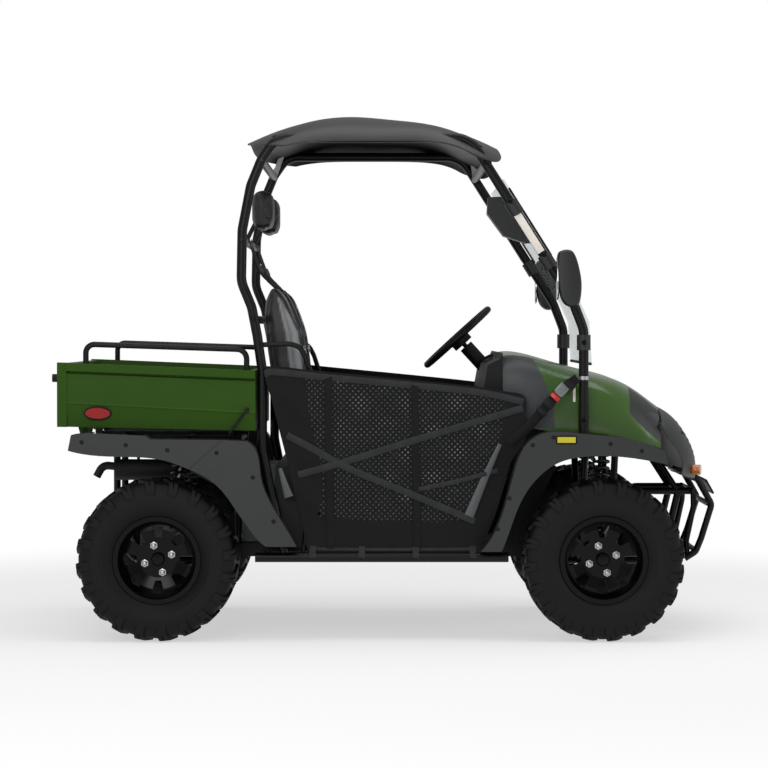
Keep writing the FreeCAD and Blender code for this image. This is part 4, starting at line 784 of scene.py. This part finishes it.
def stuffed(name, grid, cap, voxel=0.008):
    """A closed form swollen from inside: remeshed evenly, blown up as cloth, no point moving past a cap."""
    mesh = make_piece(name, [(grid, False, True, True)], blank_material(name)[0], "chassis").data
    bpy.data.objects.remove(bpy.data.objects[name])
    obj = bpy.data.objects.new(name + "_blank", mesh)
    scene.collection.objects.link(obj)
    remesh = obj.modifiers.new("even", "REMESH")
    remesh.mode, remesh.voxel_size = "VOXEL", voxel
    obj.data = evaluated(obj)
    obj.modifiers.clear()
    start = coordinates(obj.data)
    cloth = obj.modifiers.new("cloth", "CLOTH")
    cloth.settings.use_pressure = True
    cloth.settings.uniform_pressure_force = 4.0
    cloth.settings.effector_weights.gravity = 0
    for number in range(1, 21):
        scene.frame_set(number)
    move = coordinates(evaluated(obj)) - start
    obj.modifiers.clear()
    scene.frame_set(1)
    far = np.linalg.norm(move, axis=1, keepdims=True)
    move *= np.minimum(1, cap / np.maximum(far, 1e-9))
    out = obj.data
    bpy.data.objects.remove(obj)
    return out, start + move


def seam(distance, half=0.0085):
    """How deep a seam draws in: a bell over the distance from its line."""
    return np.exp(-((distance / half) ** 2))


def facing(mesh, axis, way=1):
    """The share of a pad's skin that faces along an axis: nothing side on, one once well turned to it."""
    return np.clip((way * coordinates(mesh, "normal")[:, axis] - 0.35) * 4, 0, 1)


def pad_piece(name, mesh, places, light, material, side):
    """One pad with its places, its share of the lighter panel as an attribute, and a subdivision."""
    mesh = mesh.copy()
    mesh.vertices.foreach_set("co", (places * (1, side, 1) + (0, side * SEAT_MIDDLE, 0)).ravel())
    layer = mesh.attributes.new("panel", "FLOAT", "POINT")
    layer.data.foreach_set("value", light.astype(np.float32))
    if side < 0:
        mesh.flip_normals()
    mesh.materials.clear()
    piece = finish_piece(name, mesh, material, "chassis", 180, outward=False)
    finer = piece.modifiers.new("finer", "SUBSURF")
    finer.levels = finer.render_levels = 1
    return piece


vinyl, tree = blank_material("black and grey grained vinyl")
# Leather grain in cells of 3 mm, three times the real size so that it shows. The lighter panel
# follows the attribute that each pad carries, and both tones darken a little where they wear.
panel = add(tree, "ShaderNodeAttribute", {"attribute_name": "panel"}).outputs["Fac"]
spot, _, black = mottled(tree, ("0C0C0D", "171718"), 14.0)
grey = mottled(tree, ("808284", "98999B"), 14.0)[2]
tone = add(tree, "ShaderNodeMix", {"data_type": "RGBA"}, {"Factor": panel, 6: black, 7: grey})
grain = add(tree, "ShaderNodeTexVoronoi", {"Scale": 330.0}, {"Vector": spot})
bump = add(tree, "ShaderNodeBump", {"Distance": 0.0003}, {"Height": grain.outputs["Distance"]})
shader = add(
    tree,
    "ShaderNodeBsdfPrincipled",
    {"Roughness": 0.46, "Sheen Weight": 0.08},
    {"Base Color": tone.outputs[2], "Normal": bump.outputs["Normal"]},
)
add(tree, "ShaderNodeOutputMaterial", None, {"Surface": shader.outputs[0]})

mesh, at = stuffed("seat_back", ringed(BACK_ROWS, True), 0.009)
x, y, z = at.T
wide = np.abs(y)
front = facing(mesh, 0)
drawn = seam(wide - PANEL_HALF) * SIDE_SEAM + seam(z - BACK_CROSS) * CROSS_SEAM * (wide < PANEL_HALF)
for pleat in PLEATS:
    drawn += seam(y - pleat, 0.007) * PLEAT_SEAM * (z > BACK_CROSS)
# The bolsters beside the panel bulge by 10 mm, up to the shoulders.
bulge = 0.010 * ramp(wide, PANEL_HALF, 0.05) * (1 - ramp(wide, 0.178, 0.04))
at[:, 0] += front * (bulge * ramp(1.30 - z, 0, 0.1) - drawn)
rear_seam = seam(z - 1.02, 0.007) * PLEAT_SEAM + seam(wide - 0.17, 0.007) * PLEAT_SEAM
at[:, 0] += facing(mesh, 0, -1) * rear_seam
# The lighter vinyl: the pleated panel, and a strip down the front half of each flank.
light = front * ramp(PANEL_HALF - wide, 0, 0.004) * ramp(z, 0.91, 0.006)
rows = np.array(BACK_ROWS) * MM
depth = (x - np.interp(z, rows[:, 0], rows[:, 2])) / np.interp(z, rows[:, 0], rows[:, 1] - rows[:, 2])
flank = ramp(wide, 0.170, 0.006) * ramp(depth, 0.58, 0.08)
light = np.maximum(light, flank * (1 - 0.5 * seam(depth - 0.76, 0.06)) * ramp(z, 0.93, 0.01))
backs = {}
for name, side in SIDES:
    back = pad_piece("seat_back_" + name, mesh, at, light, vinyl, side)
    faces = [list(face.vertices) for face in back.data.polygons]
    backs[name] = BVHTree.FromPolygons([v.co for v in back.data.vertices], faces)
    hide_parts("seat_backs")

mesh, at = stuffed("seat_cushion", ringed(CUSHION_ROWS, False), 0.009)
x, y, z = at.T
wide = np.abs(y)
top = facing(mesh, 2)
drawn = seam(wide - PANEL_HALF) * SIDE_SEAM + seam(x - CUSHION_CROSS) * CROSS_SEAM * (wide < PANEL_HALF)
for pleat in PLEATS:
    drawn += seam(y - pleat, 0.007) * PLEAT_SEAM * (x < CUSHION_CROSS)
at[:, 2] -= top * drawn
light = top * ramp(PANEL_HALF - wide, 0, 0.004) * ramp(-0.024 - x, 0, 0.006)
for name, side in SIDES:
    cushion = pad_piece("seat_cushion_" + name, mesh, at, light, vinyl, side)
    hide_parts("seat_cushions")

mesh, at = stuffed("headrest", ringed(REST_ROWS, True), 0.006, 0.006)
REST_HIGH = 1.686
border = seam(at[:, 0] + 0.478, 0.006) * PLEAT_SEAM
at[:, 1] -= np.sign(at[:, 1]) * border * (np.abs(at[:, 1]) > 0.08)
at[:, 2] -= np.sign(at[:, 2] - REST_HIGH) * border * (np.abs(at[:, 2] - REST_HIGH) > 0.05)
STEM = np.array([(-0.5655, 0.290, 1.562), (-0.5265, 0.290, 1.640)])
stems = [bar(STEM * (1, side, 1), circle(0.0088, 20)) for side in (-1, 1)]
stem = make_piece("headrest_stems", stems, powder_coat, "chassis", 50)
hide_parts("headrests")
for name, side in SIDES:
    rest = pad_piece("headrest_" + name, mesh, at, 0 * at[:, 0], vinyl, side)
    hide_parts("headrests")

# Seat belts: two straps of black webbing over each seat back, sewn round the headrest bar, with
# a slide adjuster on each and bright fittings below it. The webbing has only a faint sheen.
webbing_black = surface("black polyester webbing", ("0F0F10", "1B1B1C"), (0.6, 0.78), 9, 3.0, 0.2, **DULL)
BELT_LINE = [
    (-0.548, 1.574), (-0.541, 1.532), (-0.514, 1.450), (-0.480, 1.406), (-0.448, 1.397), (-0.424, 1.384),
    (-0.402, 1.345), (-0.380, 1.290), (-0.348, 1.200), (-0.333, 1.088), (-0.313, 0.930), (-0.306, 0.880),
]
BELT_WIDE, BELT_THICK, BELT_TWIST, BELT_SHIFT = 0.046, 0.0018, 0.20, 0.090
# Steps along a belt: all of them, its slide, where it lands on the seat, and its two fittings
# with the share of their width.
STEPS, SLIDE, LANDING, FITTINGS = 90, 16, 24, ((70, 0.5), (88, 0.42))
FITTING = np.array([(-0.056, -0.011), (-0.056, 0.011), (0.056, 0.011), (0.056, -0.011)])


def loop(path, profile, normal=None):
    """A profile carried round a closed path, as a grid."""
    return carried(path, profile, normal), True, True, False


step = np.arange(STEPS)[:, None]
twist = BELT_TWIST * np.sin(np.pi * ramp(step, 4, 38))
lies = ramp(step, LANDING, 8)
for name, side in SIDES:
    for number, shift in enumerate((-BELT_SHIFT, BELT_SHIFT)):
        y = side * SEAT_MIDDLE + shift
        line = np.insert(flowing(BELT_LINE, STEPS), 1, y, axis=1)
        # Below its landing the belt lies on the swollen pad, smoothed over seven steps.
        nearest = [backs[name].find_nearest(Vector(point)) for point in line]
        rested = np.array([list(hit[0] + hit[1] * 0.0022) for hit in nearest])
        rested[:, 1] = y
        ended = np.pad(rested, ((3, 3), (0, 0)), "edge")
        rested = np.stack([np.convolve(row, np.ones(7) / 7, "valid") for row in ended.T], 1)
        line = line + (rested - line) * lies
        long = np.linalg.norm(np.diff(line, axis=0), axis=1).sum()
        # Its upper half is twisted towards the side, about the edge that lies on the pad.
        run = unit(np.gradient(line, axis=0))
        inward = np.cross(SIDEWAYS, run)
        line = line - inward * BELT_WIDE * 0.42 * np.sin(twist)
        normal = inward * np.cos(twist) + SIDEWAYS * np.sin(twist)
        strap = bar(line, webbing_profile(BELT_WIDE, BELT_THICK), normal)
        belt = make_piece(f"belt_{name}_{number}", [strap], webbing_black, "chassis", 50)
        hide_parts("seat_belts")
        metal = []
        for spot, half in FITTINGS:
            tangent = unit(line[min(spot + 1, STEPS - 1)] - line[spot - 1])
            out = np.cross(SIDEWAYS, tangent)
            middle = line[spot] + np.sign(out[0]) * out * 0.0035
            path = middle + FITTING * (half, 1) @ np.array([SIDEWAYS, tangent])
            metal.append(loop(flowing(path, 32, True), circle(0.0024, 8)))
        hardware = make_piece(f"belt_metal_{name}_{number}", metal, zinc_plate, "chassis", 40)
        across = np.cross(run[SLIDE], unit(normal[SLIDE]))
        slide = rounded_box(line[SLIDE], run[SLIDE], across, (0.034, 0.058, 0.011))
        slider = make_piece(f"belt_slide_{name}_{number}", [slide], satin_black, "chassis", 40)

# Body panels: injection moulded plastic. Hood and side panels are glossy olive green, the cargo
# bed and tailgate a deeper satin one. Flares, fascia and cowl are charcoal; roof, dashboard,
# floor and mirror shells are black.
OLIVE = ("35551A", "3C5D1F")
OLIVE_DEEP = ("29490A", "2F510D")
GLOSS = {"Coat Weight": 0.14, "Coat Roughness": 0.05}
gloss_green = surface("gloss olive polypropylene", OLIVE, (0.16, 0.24), 150, 6.0, 0.02, **GLOSS)
SATIN = {"Specular IOR Level": 0.12}
green_paint = surface("satin olive polypropylene", OLIVE_DEEP, (0.30, 0.40), 120, 4.0, 0.04, **SATIN)
satin_grey = surface("satin charcoal polypropylene", ("202223", "292B2B"), (0.40, 0.50), 90, 3.0, 0.10)
# The cowl is the flares' charcoal plastic painted lighter: painted light for the light it takes from above.
painted_light_cowl_grey = surface("satin charcoal cowl plastic painted lighter", ("34373A", "3F4244"), (0.40, 0.50), 90, 3.0, 0.10)
roof_black = surface("grained black roof plastic", ("131415", "1C1D1E"), (0.42, 0.55), 80, 3.0, 0.12)
dress(gloss_green, "hood", "front_side_panels")
dress(green_paint, "cargo_bed", "tailgate")
dress(satin_grey, "front_flares", "rear_flares", "front_fascia", "lamp_surrounds")
dress(satin_black, "dashboard", "steering_column", "floor_pan", "seat_plinth", "tailgate_latches")
soft_black = surface(
    "soft black moulded polyurethane", ("0C0C0D", "121213"), (0.42, 0.5), 60, 3.0, 0.015, **DULL
)
dress(soft_black, "steering_wheel")
dress(painted_light_cowl_grey, "cowl_sides")
dress(roof_black, "roof_panel", "windshield_clamps")
bracket_white = surface("white passivated steel bracket", ("C6C8C9", "D8DADB"), (0.35, 0.5), 20, 3.0, 0.05)
dress(bracket_white, "roof_brackets")

# Lamps: moulded acrylic lenses. Ruby tail lamps in black bezels, orange turn signals, yellow
# side reflectors, and clear headlamp covers over a bright dish with its bulb. The lenses are
# glossy and let some light in, and the plated dish is nearly a mirror.
TAIL_LAMP, TAIL_OVAL = (-1.124, 0.6325, 0.886), (0.0505, 0.0235)
HEADLAMP = (1.000, 0.472, 0.838)
REFLECTOR, REFLECTOR_HALF = (0.690, 0.6905, 0.785), (0.0385, 0.0145)
LENS_SPLIT = 0.95
DISH = [
    (0.006, -0.020), (0.022, -0.012), (0.036, 0.004), (0.040, 0.018), (0.043, 0.018), (0.039, 0.002),
    (0.024, -0.016), (0.006, -0.024),
]
BULB = [(0.004, -0.018), (0.009, -0.012), (0.010, 0.002), (0.006, 0.010), (0.002, 0.012)]
CLEAR = {"Transmission Weight": 0.85}
TINTED = {"Transmission Weight": 0.2, "Coat Weight": 0.5}
red_lens = surface("ruby acrylic lens", ("C01008", "8E0A06"), (0.08, 0.14), 30, 5.0, 0.12, **TINTED)
lamp_glass = surface("smoked clear lamp cover", ("5C6064", "70757A"), (0.05, 0.1), 60, 8.0, 0.1, **CLEAR)
dish_chrome = surface("vacuum plated reflector", ("B8BABC", "C8CACC"), (0.08, 0.14), 20, 4.0, 0.05, **METAL)
signal_lens, tree = blank_material("orange and yellow acrylic lens")
# Rear of the fascia the lens is the yellow reflector; prisms of 5 mm stand under both skins.
spot = add(tree, "ShaderNodeTexCoord").outputs["Object"]
place_x = add(tree, "ShaderNodeSeparateXYZ", None, {"Vector": spot}).outputs["X"]
ahead = add(tree, "ShaderNodeMath", {"operation": "GREATER_THAN", 1: LENS_SPLIT}, {0: place_x})
ends = {"data_type": "RGBA", 6: colour("D8CC1E"), 7: colour("C8701A")}
tone = add(tree, "ShaderNodeMix", ends, {"Factor": ahead.outputs[0]})
prism = add(tree, "ShaderNodeTexVoronoi", {"Scale": 1 / (5 * MM)}, {"Vector": spot})
bump = add(tree, "ShaderNodeBump", {"Distance": 0.0003}, {"Height": prism.outputs["Distance"]})
shader = add(
    tree,
    "ShaderNodeBsdfPrincipled",
    {"Roughness": 0.12, "Transmission Weight": 0.1, "Coat Weight": 0.4},
    {"Base Color": tone.outputs[2], "Normal": bump.outputs["Normal"]},
)
add(tree, "ShaderNodeOutputMaterial", None, {"Surface": shader.outputs[0]})
dress(red_lens, "tail_lamps")
dress(signal_lens, "signal_lamps")
dress(lamp_glass, "headlamps")

turn = 2 * np.pi * np.arange(48) / 48
bezels, frames = [], []
for side in (-1, 1):
    oval = np.stack([np.cos(turn), np.sin(turn)], 1) * TAIL_OVAL + (TAIL_LAMP[0], TAIL_LAMP[2])
    bezels.append(loop(np.insert(oval, 1, side * TAIL_LAMP[1], axis=1), circle(0.0035, 10), (0, side, 0)))
    flat = squircle(48, 0.3, 0) * REFLECTOR_HALF + (REFLECTOR[0], REFLECTOR[2])
    frames.append(loop(np.insert(flat, 1, side * REFLECTOR[1], axis=1), circle(0.0028, 8), (0, side, 0)))
make_piece("tail_lamp_bezels", bezels, satin_black, "bed", 60)
dishes = [(HEADLAMP[0], side * HEADLAMP[1], HEADLAMP[2]) for side in (-1, 1)]
lean = [(0.82, side * 0.35, 0.12) for side in (-1, 1)]
bright = turned(DISH, 36, dishes, lean) + turned(BULB, 20, dishes, lean)
make_piece("headlamp_dishes", bright, dish_chrome, "chassis", 40)
make_piece("reflector_frames", frames, satin_black, "chassis", 60)

# Windshield: one sheet of clear polycarbonate. A pale warm-white strip lies on each pillar between
# its upper clamps, black edging covers the sheet's sides there, and a rubber strip seals the
# foot. Shorter pale strips stand on the side panels, behind the pillars.
SKIN_MOST = 0.2
clear_sheet, tree = blank_material("clear polycarbonate sheet")
# The sheet lets light straight through; only its skin reflects, more at a flat angle, and a
# scratch haze of a few percent lies on it in patches.
spot = add(tree, "ShaderNodeTexCoord").outputs["Object"]
haze = add(tree, "ShaderNodeTexNoise", {"Scale": 7.0, "Detail": 4.0}, {"Vector": spot})
glance = add(tree, "ShaderNodeFresnel", {"IOR": 1.45})
veil = add(tree, "ShaderNodeMapRange", {"To Min": 0.01, "To Max": 0.06}, {"Value": haze.outputs["Fac"]})
both = add(tree, "ShaderNodeMath", {"operation": "ADD"}, {0: glance.outputs[0], 1: veil.outputs["Result"]})
# At the flattest angles the sheet still lets four fifths of the light by.
share = add(tree, "ShaderNodeMath", {"operation": "MINIMUM", 1: SKIN_MOST}, {0: both.outputs[0]})
polish = {"Base Color": colour("F4F6F6"), "Roughness": 0.06, "Specular IOR Level": 0.5}
skin = add(tree, "ShaderNodeBsdfPrincipled", polish)
open_way = add(tree, "ShaderNodeBsdfTransparent", {"Color": colour("F3F6F6")})
parts = {0: share.outputs[0], 1: open_way.outputs[0], 2: skin.outputs[0]}
blend = add(tree, "ShaderNodeMixShader", None, parts)
add(tree, "ShaderNodeOutputMaterial", None, {"Surface": blend.outputs[0]})
# The strips are a bright warm white with a smooth skin.
pale_warm_strip = surface("pale warm white strip", ("E9E0D4", "F8F4EE"), (0.2, 0.3), 60, 5.0, 0.02)
dress(clear_sheet, "windshield")


def raised(foot, top, low, high):
    """Outline of a strip that stands on a face: half its width at the foot and top, and both heights."""
    return [(-foot, low), (-top, high), (top, high), (foot, low)]


# The ends of the left pillar's strip, of the edging beside it and of the seal across the foot.
PILLAR_STRIP = [(0.503, 0.6095, 1.658), (0.596, 0.6095, 1.511)]
SHEET_EDGE = [(0.472, 0.577, 1.7618), (0.638, 0.577, 1.4985)]
FOOT_SEAL = [(0.7935, -0.560, 1.0765), (0.7935, 0.560, 1.0765)]
strips, edges = [], []
for side in (-1, 1):
    line = np.linspace(*PILLAR_STRIP, 20) * (1, side, 1)
    strips.append(bar(line, webbing_profile(0.030, 0.003), (0, side, 0)))
    line = np.linspace(*SHEET_EDGE, 30) * (1, side, 1)
    edges.append(bar(line, raised(0.0042, 0.0042, -0.006, 0.003), (0, side, 0)))
make_piece("windshield_edging", edges, rubber, "chassis", 50)
make_piece("pillar_strips", strips, pale_warm_strip, "chassis", 50)
seal = bar(np.linspace(*FOOT_SEAL, 30), webbing_profile(0.012, 0.010), (1, 0, 0))
make_piece("windshield_foot_seal", [seal], rubber, "chassis", 50)

# Mirrors: a rounded shell of black plastic on a clamped arm, with the glass let into its rear.
# Silvered glass is a plain mirror.
MIRROR_LINE = [
    (650, 1490), (668, 1514), (706, 1512), (728, 1470), (743, 1392), (738, 1322), (722, 1299), (690, 1300),
    (664, 1330), (652, 1400),
]
# The shell's outlines from the cab outwards: their distance in mm and their size.
MIRROR_SHELL = [
    (700, 0.72), (702, 0.86), (710, 0.97), (724, 1.0), (746, 1.0), (760, 0.97), (768, 0.86), (770, 0.70),
]
MIRROR_ARM = [(0.704, 0.600, 1.372), (0.700, 0.640, 1.374), (0.698, 0.706, 1.379)]
MIRROR_CLAMP = [(0.012, -0.010), (0.012, 0.006), (0.009, 0.009)]
CLAMP_SPOT, PILLAR_WAY = (0.7185, 0.590, 1.397), (0.846, 0, 0.533)
MIRROR_MIDDLE = np.array([0.699, 1.405])
# The glass: half its width and height, where it stands, and its outlines' depth and size.
GLASS_HALF = (0.031, 0.083)
GLASS_X, GLASS_Y, GLASS_Z = 0.6555, 0.735, 1.405
GLASS_LAYERS = [(0, 0.9), (-0.0055, 1), (-0.007, 0.98)]
mirror_glass = surface("silvered glass", ("D0D3D6", "DADDE0"), (0.02, 0.04), 80, 8.0, 0.002, **METAL)
round_line = flowing(MIRROR_LINE, 64, True) * MM
for name, side in SIDES:
    layers = []
    for across, share in MIRROR_SHELL:
        flat = MIRROR_MIDDLE + (round_line - MIRROR_MIDDLE) * (share, 1 - (1 - share) * 0.45)
        layers.append(np.insert(flat, 1, side * across * MM, axis=1))
    arm = bar(np.array(MIRROR_ARM) * (1, side, 1), circle(0.0088, 16))
    shell = (np.array(layers), False, True, True)
    mirror = make_piece("mirror_" + name, [shell, arm], roof_black, "chassis", 35)
    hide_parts("side_mirrors")
    clamp = turned(MIRROR_CLAMP, 16, [np.array(CLAMP_SPOT) * (1, side, 1)], [PILLAR_WAY])
    make_piece("mirror_clamp_" + name, clamp, satin_black, "chassis", 35)
    flat = squircle(40, 0.5) * GLASS_HALF
    glass = [
        np.insert(flat * grow + (side * GLASS_Y, GLASS_Z), 0, GLASS_X + depth, axis=1)
        for depth, grow in GLASS_LAYERS
    ]
    make_piece("mirror_glass_" + name, [(np.array(glass), False, True, True)], mirror_glass, "chassis", 50)

# Fasteners and trim: black push rivets in the flares and fascia, flanged hexagon screws of black
# chromed steel on the cage, in the clamps and in the roof over its brackets, and a round rubber
# strip that closes the gap under the hood's front edge. Black chrome is dark, with the sharp glints of
# metal.
nut_black = surface("black chromed steel screw", ("1A1B1C", "262829"), (0.2, 0.3), 12, 1.5, 0.03, **METAL)
BOLT_COLLAR = [(0.0105, 0.0), (0.0105, 0.0012), (0.0085, 0.0024)]
BOLT_HEAD = [(0.0072, 0.0012), (0.0075, 0.0064), (0.0062, 0.0076)]
RIVET = [
    (0.0085, -0.002), (0.0085, 0.0012), (0.0066, 0.0030), (0.0044, 0.0034), (0.0036, 0.0024),
    (0.001, 0.0024),
]
FLARE_RIVETS = {
    "front_flares": [(0.56, 0.765), (0.64, 0.795), (0.86, 0.77), (0.98, 0.742), (0.47, 0.56), (0.425, 0.44)],
    "rear_flares": [
        (-1.18, 0.776), (-1.01, 0.765), (-0.85, 0.745), (-0.66, 0.735), (-0.52, 0.64), (-0.44, 0.47),
    ],
}
# Screws on the cage as (x, z), by how far out from the middle they stand.
CAGE_SCREWS = {
    0.6085: [
        (-0.566, 1.560), (-0.520, 1.250), (-0.490, 1.868), (0.380, 1.858), (-0.4885, 1.151), (0.763, 0.760),
        (0.763, 0.860),
    ],
    0.6165: [(0.476, 1.709), (0.606, 1.502), (0.763, 1.160)],
}


# Where rays start: beside the body, ahead of it, over it and over the roof.
BESIDE, AHEAD, OVER, OVER_ROOF = 0.9, 1.6, 1.5, 2.4


def landed(node, starts, way):
    """Where rays from each start meet a CAD node, and its outward normals there."""
    mesh = nodes[node].data
    shape = BVHTree.FromPolygons([v.co for v in mesh.vertices], [list(p.vertices) for p in mesh.polygons])
    hits = [shape.ray_cast(Vector(start), Vector(way)) for start in starts]
    hits = [(hit[0], hit[1]) for hit in hits if hit[0] is not None]
    spots = np.array([list(spot) for spot, _ in hits])
    ways = np.array([list(normal if normal.dot(Vector(way)) < 0 else -normal) for _, normal in hits])
    return spots, ways


def screws(name, spots, ways):
    """Hexagon heads on collars, at each spot of the chassis and pointing each way."""
    grids = turned(BOLT_COLLAR, 12, spots, ways) + turned(BOLT_HEAD, 6, spots, ways)
    make_piece(name, grids, nut_black, "chassis", 30)


for node, places in FLARE_RIVETS.items():
    spots, ways = [], []
    for side in (-1, 1):
        at, out = landed(node, [(x, side * BESIDE, z) for x, z in places], (0, -side, 0))
        spots, ways = [*spots, *at], [*ways, *out]
    make_piece(node + "_rivets", turned(RIVET, 14, spots, ways), satin_black, "chassis", 35)
at, out = landed("front_fascia", [(AHEAD, y, z) for y in (-0.36, 0.36) for z in (0.80, 0.66)], (-1, 0, 0))
make_piece("fascia_rivets", turned(RIVET, 14, at, out), satin_black, "chassis", 35)
at, out = landed("front_fascia", [(1.080, y, OVER) for y in np.linspace(-0.44, 0.44, 60)], (0, 0, -1))
make_piece("hood_seal", [bar(at + (-0.009, 0, -0.011), circle(0.009, 12))], rubber, "chassis", 50)
strips = []
for side in (-1, 1):
    starts = [(0.729, side * BESIDE, z) for z in np.linspace(0.928, 0.998, 16)]
    at, out = landed("front_side_panels", starts, (0, -side, 0))
    strips.append(bar(at + out * 0.0012, webbing_profile(0.010, 0.003), out))
make_piece("panel_strips", strips, pale_warm_strip, "chassis", 50)
corners = [(x, y, OVER_ROOF) for x in (-0.44, 0.36) for y in (-0.561, 0.561)]
at, out = landed("roof_panel", corners, (0, 0, -1))
screws("roof_screws", at, out)
spots, ways = [], []
for side in (-1, 1):
    for across, places in CAGE_SCREWS.items():
        spots += [(x, side * across, z) for x, z in places]
        ways += [(0, side, 0)] * len(places)
screws("cage_screws", spots, ways)

# Front grille: moulded slats over the middle of the fascia, following its crown.
SLAT_LOW, SLAT_HIGH, SLATS = 0.700, 0.838, 7
slats = []
for height in np.linspace(SLAT_LOW, SLAT_HIGH, SLATS):
    half = 0.27 + 0.06 * math.sin((height - SLAT_LOW) / 0.14 * math.pi)
    at, out = landed("front_fascia", [(AHEAD, y, height) for y in np.linspace(-half, half, 41)], (-1, 0, 0))
    slats.append(bar(at, raised(0.0052, 0.0046, -0.004, 0.0009), out))
make_piece("grille_slats", slats, satin_black, "chassis", 50)

# Cargo bed: pressed ribs along its floor and a stamped frame on the tailgate's outer face.
GATE_FACE = -1.2825
# The stamped frame's left half, which its right half repeats.
STAMP_HALF = [(0.50, 1.045), (0.52, 1.02), (0.52, 0.90), (0.50, 0.88)]
STAMP_LINE = [(-y, z) for y, z in STAMP_HALF[::-1]] + STAMP_HALF
ribs = []
for y in np.linspace(-0.50, 0.50, 9):
    at, out = landed("cargo_bed", [(x, y, OVER) for x in np.linspace(-1.235, -0.560, 24)], (0, 0, -1))
    ribs.append(bar(at, raised(0.016, 0.010, -0.002, 0.004), out))
make_piece("bed_floor_ribs", ribs, green_paint, "bed", 50)
frame_line = flowing([(GATE_FACE, y, z) for y, z in STAMP_LINE], 160, True)
stamp = [loop(frame_line, raised(0.012, 0.007, -0.002, 0.0035), (-1, 0, 0))]
make_piece("tailgate_stamping", stamp, green_paint, "gate", 50)

# Dashboard: a round gauge in a bezel ahead of the wheel and a row of rocker switches. The
# gauge's face is glossy under its clear cover.
GAUGE_SPOT, GAUGE_WAY = (0.416, 0.290, 1.084), (-0.447, 0, 0.894)
GAUGE = [(0.052, -0.004), (0.053, 0.008), (0.050, 0.012), (0.046, 0.010), (0.044, 0.006)]
FACE = [(0.0455, -0.002), (0.0455, 0.0065), (0.030, 0.0068), (0.006, 0.0068)]
SWITCH_LAYERS = [(-0.003, 1.0), (0.003, 1.0), (0.006, 0.86), (0.0065, 0.3)]
COVERED = {"Coat Weight": 0.6}
gauge_face = surface("dark gauge face", ("16181A", "1E2022"), (0.1, 0.16), 30, 6.0, 0.02, **COVERED)
make_piece("gauge_bezel", turned(GAUGE, 40, [GAUGE_SPOT], [GAUGE_WAY]), satin_black, "chassis", 40)
make_piece("gauge_face", turned(FACE, 40, [GAUGE_SPOT], [GAUGE_WAY]), gauge_face, "chassis", 40)
# A switch's outline lies in the panel's plane, along its slope and across the cab.
plane = np.array([unit(np.array([0.894, 0, 0.447])), SIDEWAYS])
outline = squircle(24, 0.35) * (0.019, 0.011) @ plane
switches = []
for y in (-0.06, -0.02, 0.02, 0.06):
    middle = np.array([GAUGE_SPOT[0], y, GAUGE_SPOT[2]])
    layers = [middle + outline * share + rise * np.array(GAUGE_WAY) for rise, share in SWITCH_LAYERS]
    switches.append((np.array(layers), False, True, True))
make_piece("dash_switches", switches, satin_black, "chassis", 40)

# The CAD nodes' own edges: smooth, but sharp where faces meet at more than 32 degrees.
SHARP_DEGREES = 32
for name in nodes:
    nodes[name].data.shade_smooth()
    nodes[name].data.set_sharp_from_angle(angle=math.radians(SHARP_DEGREES))
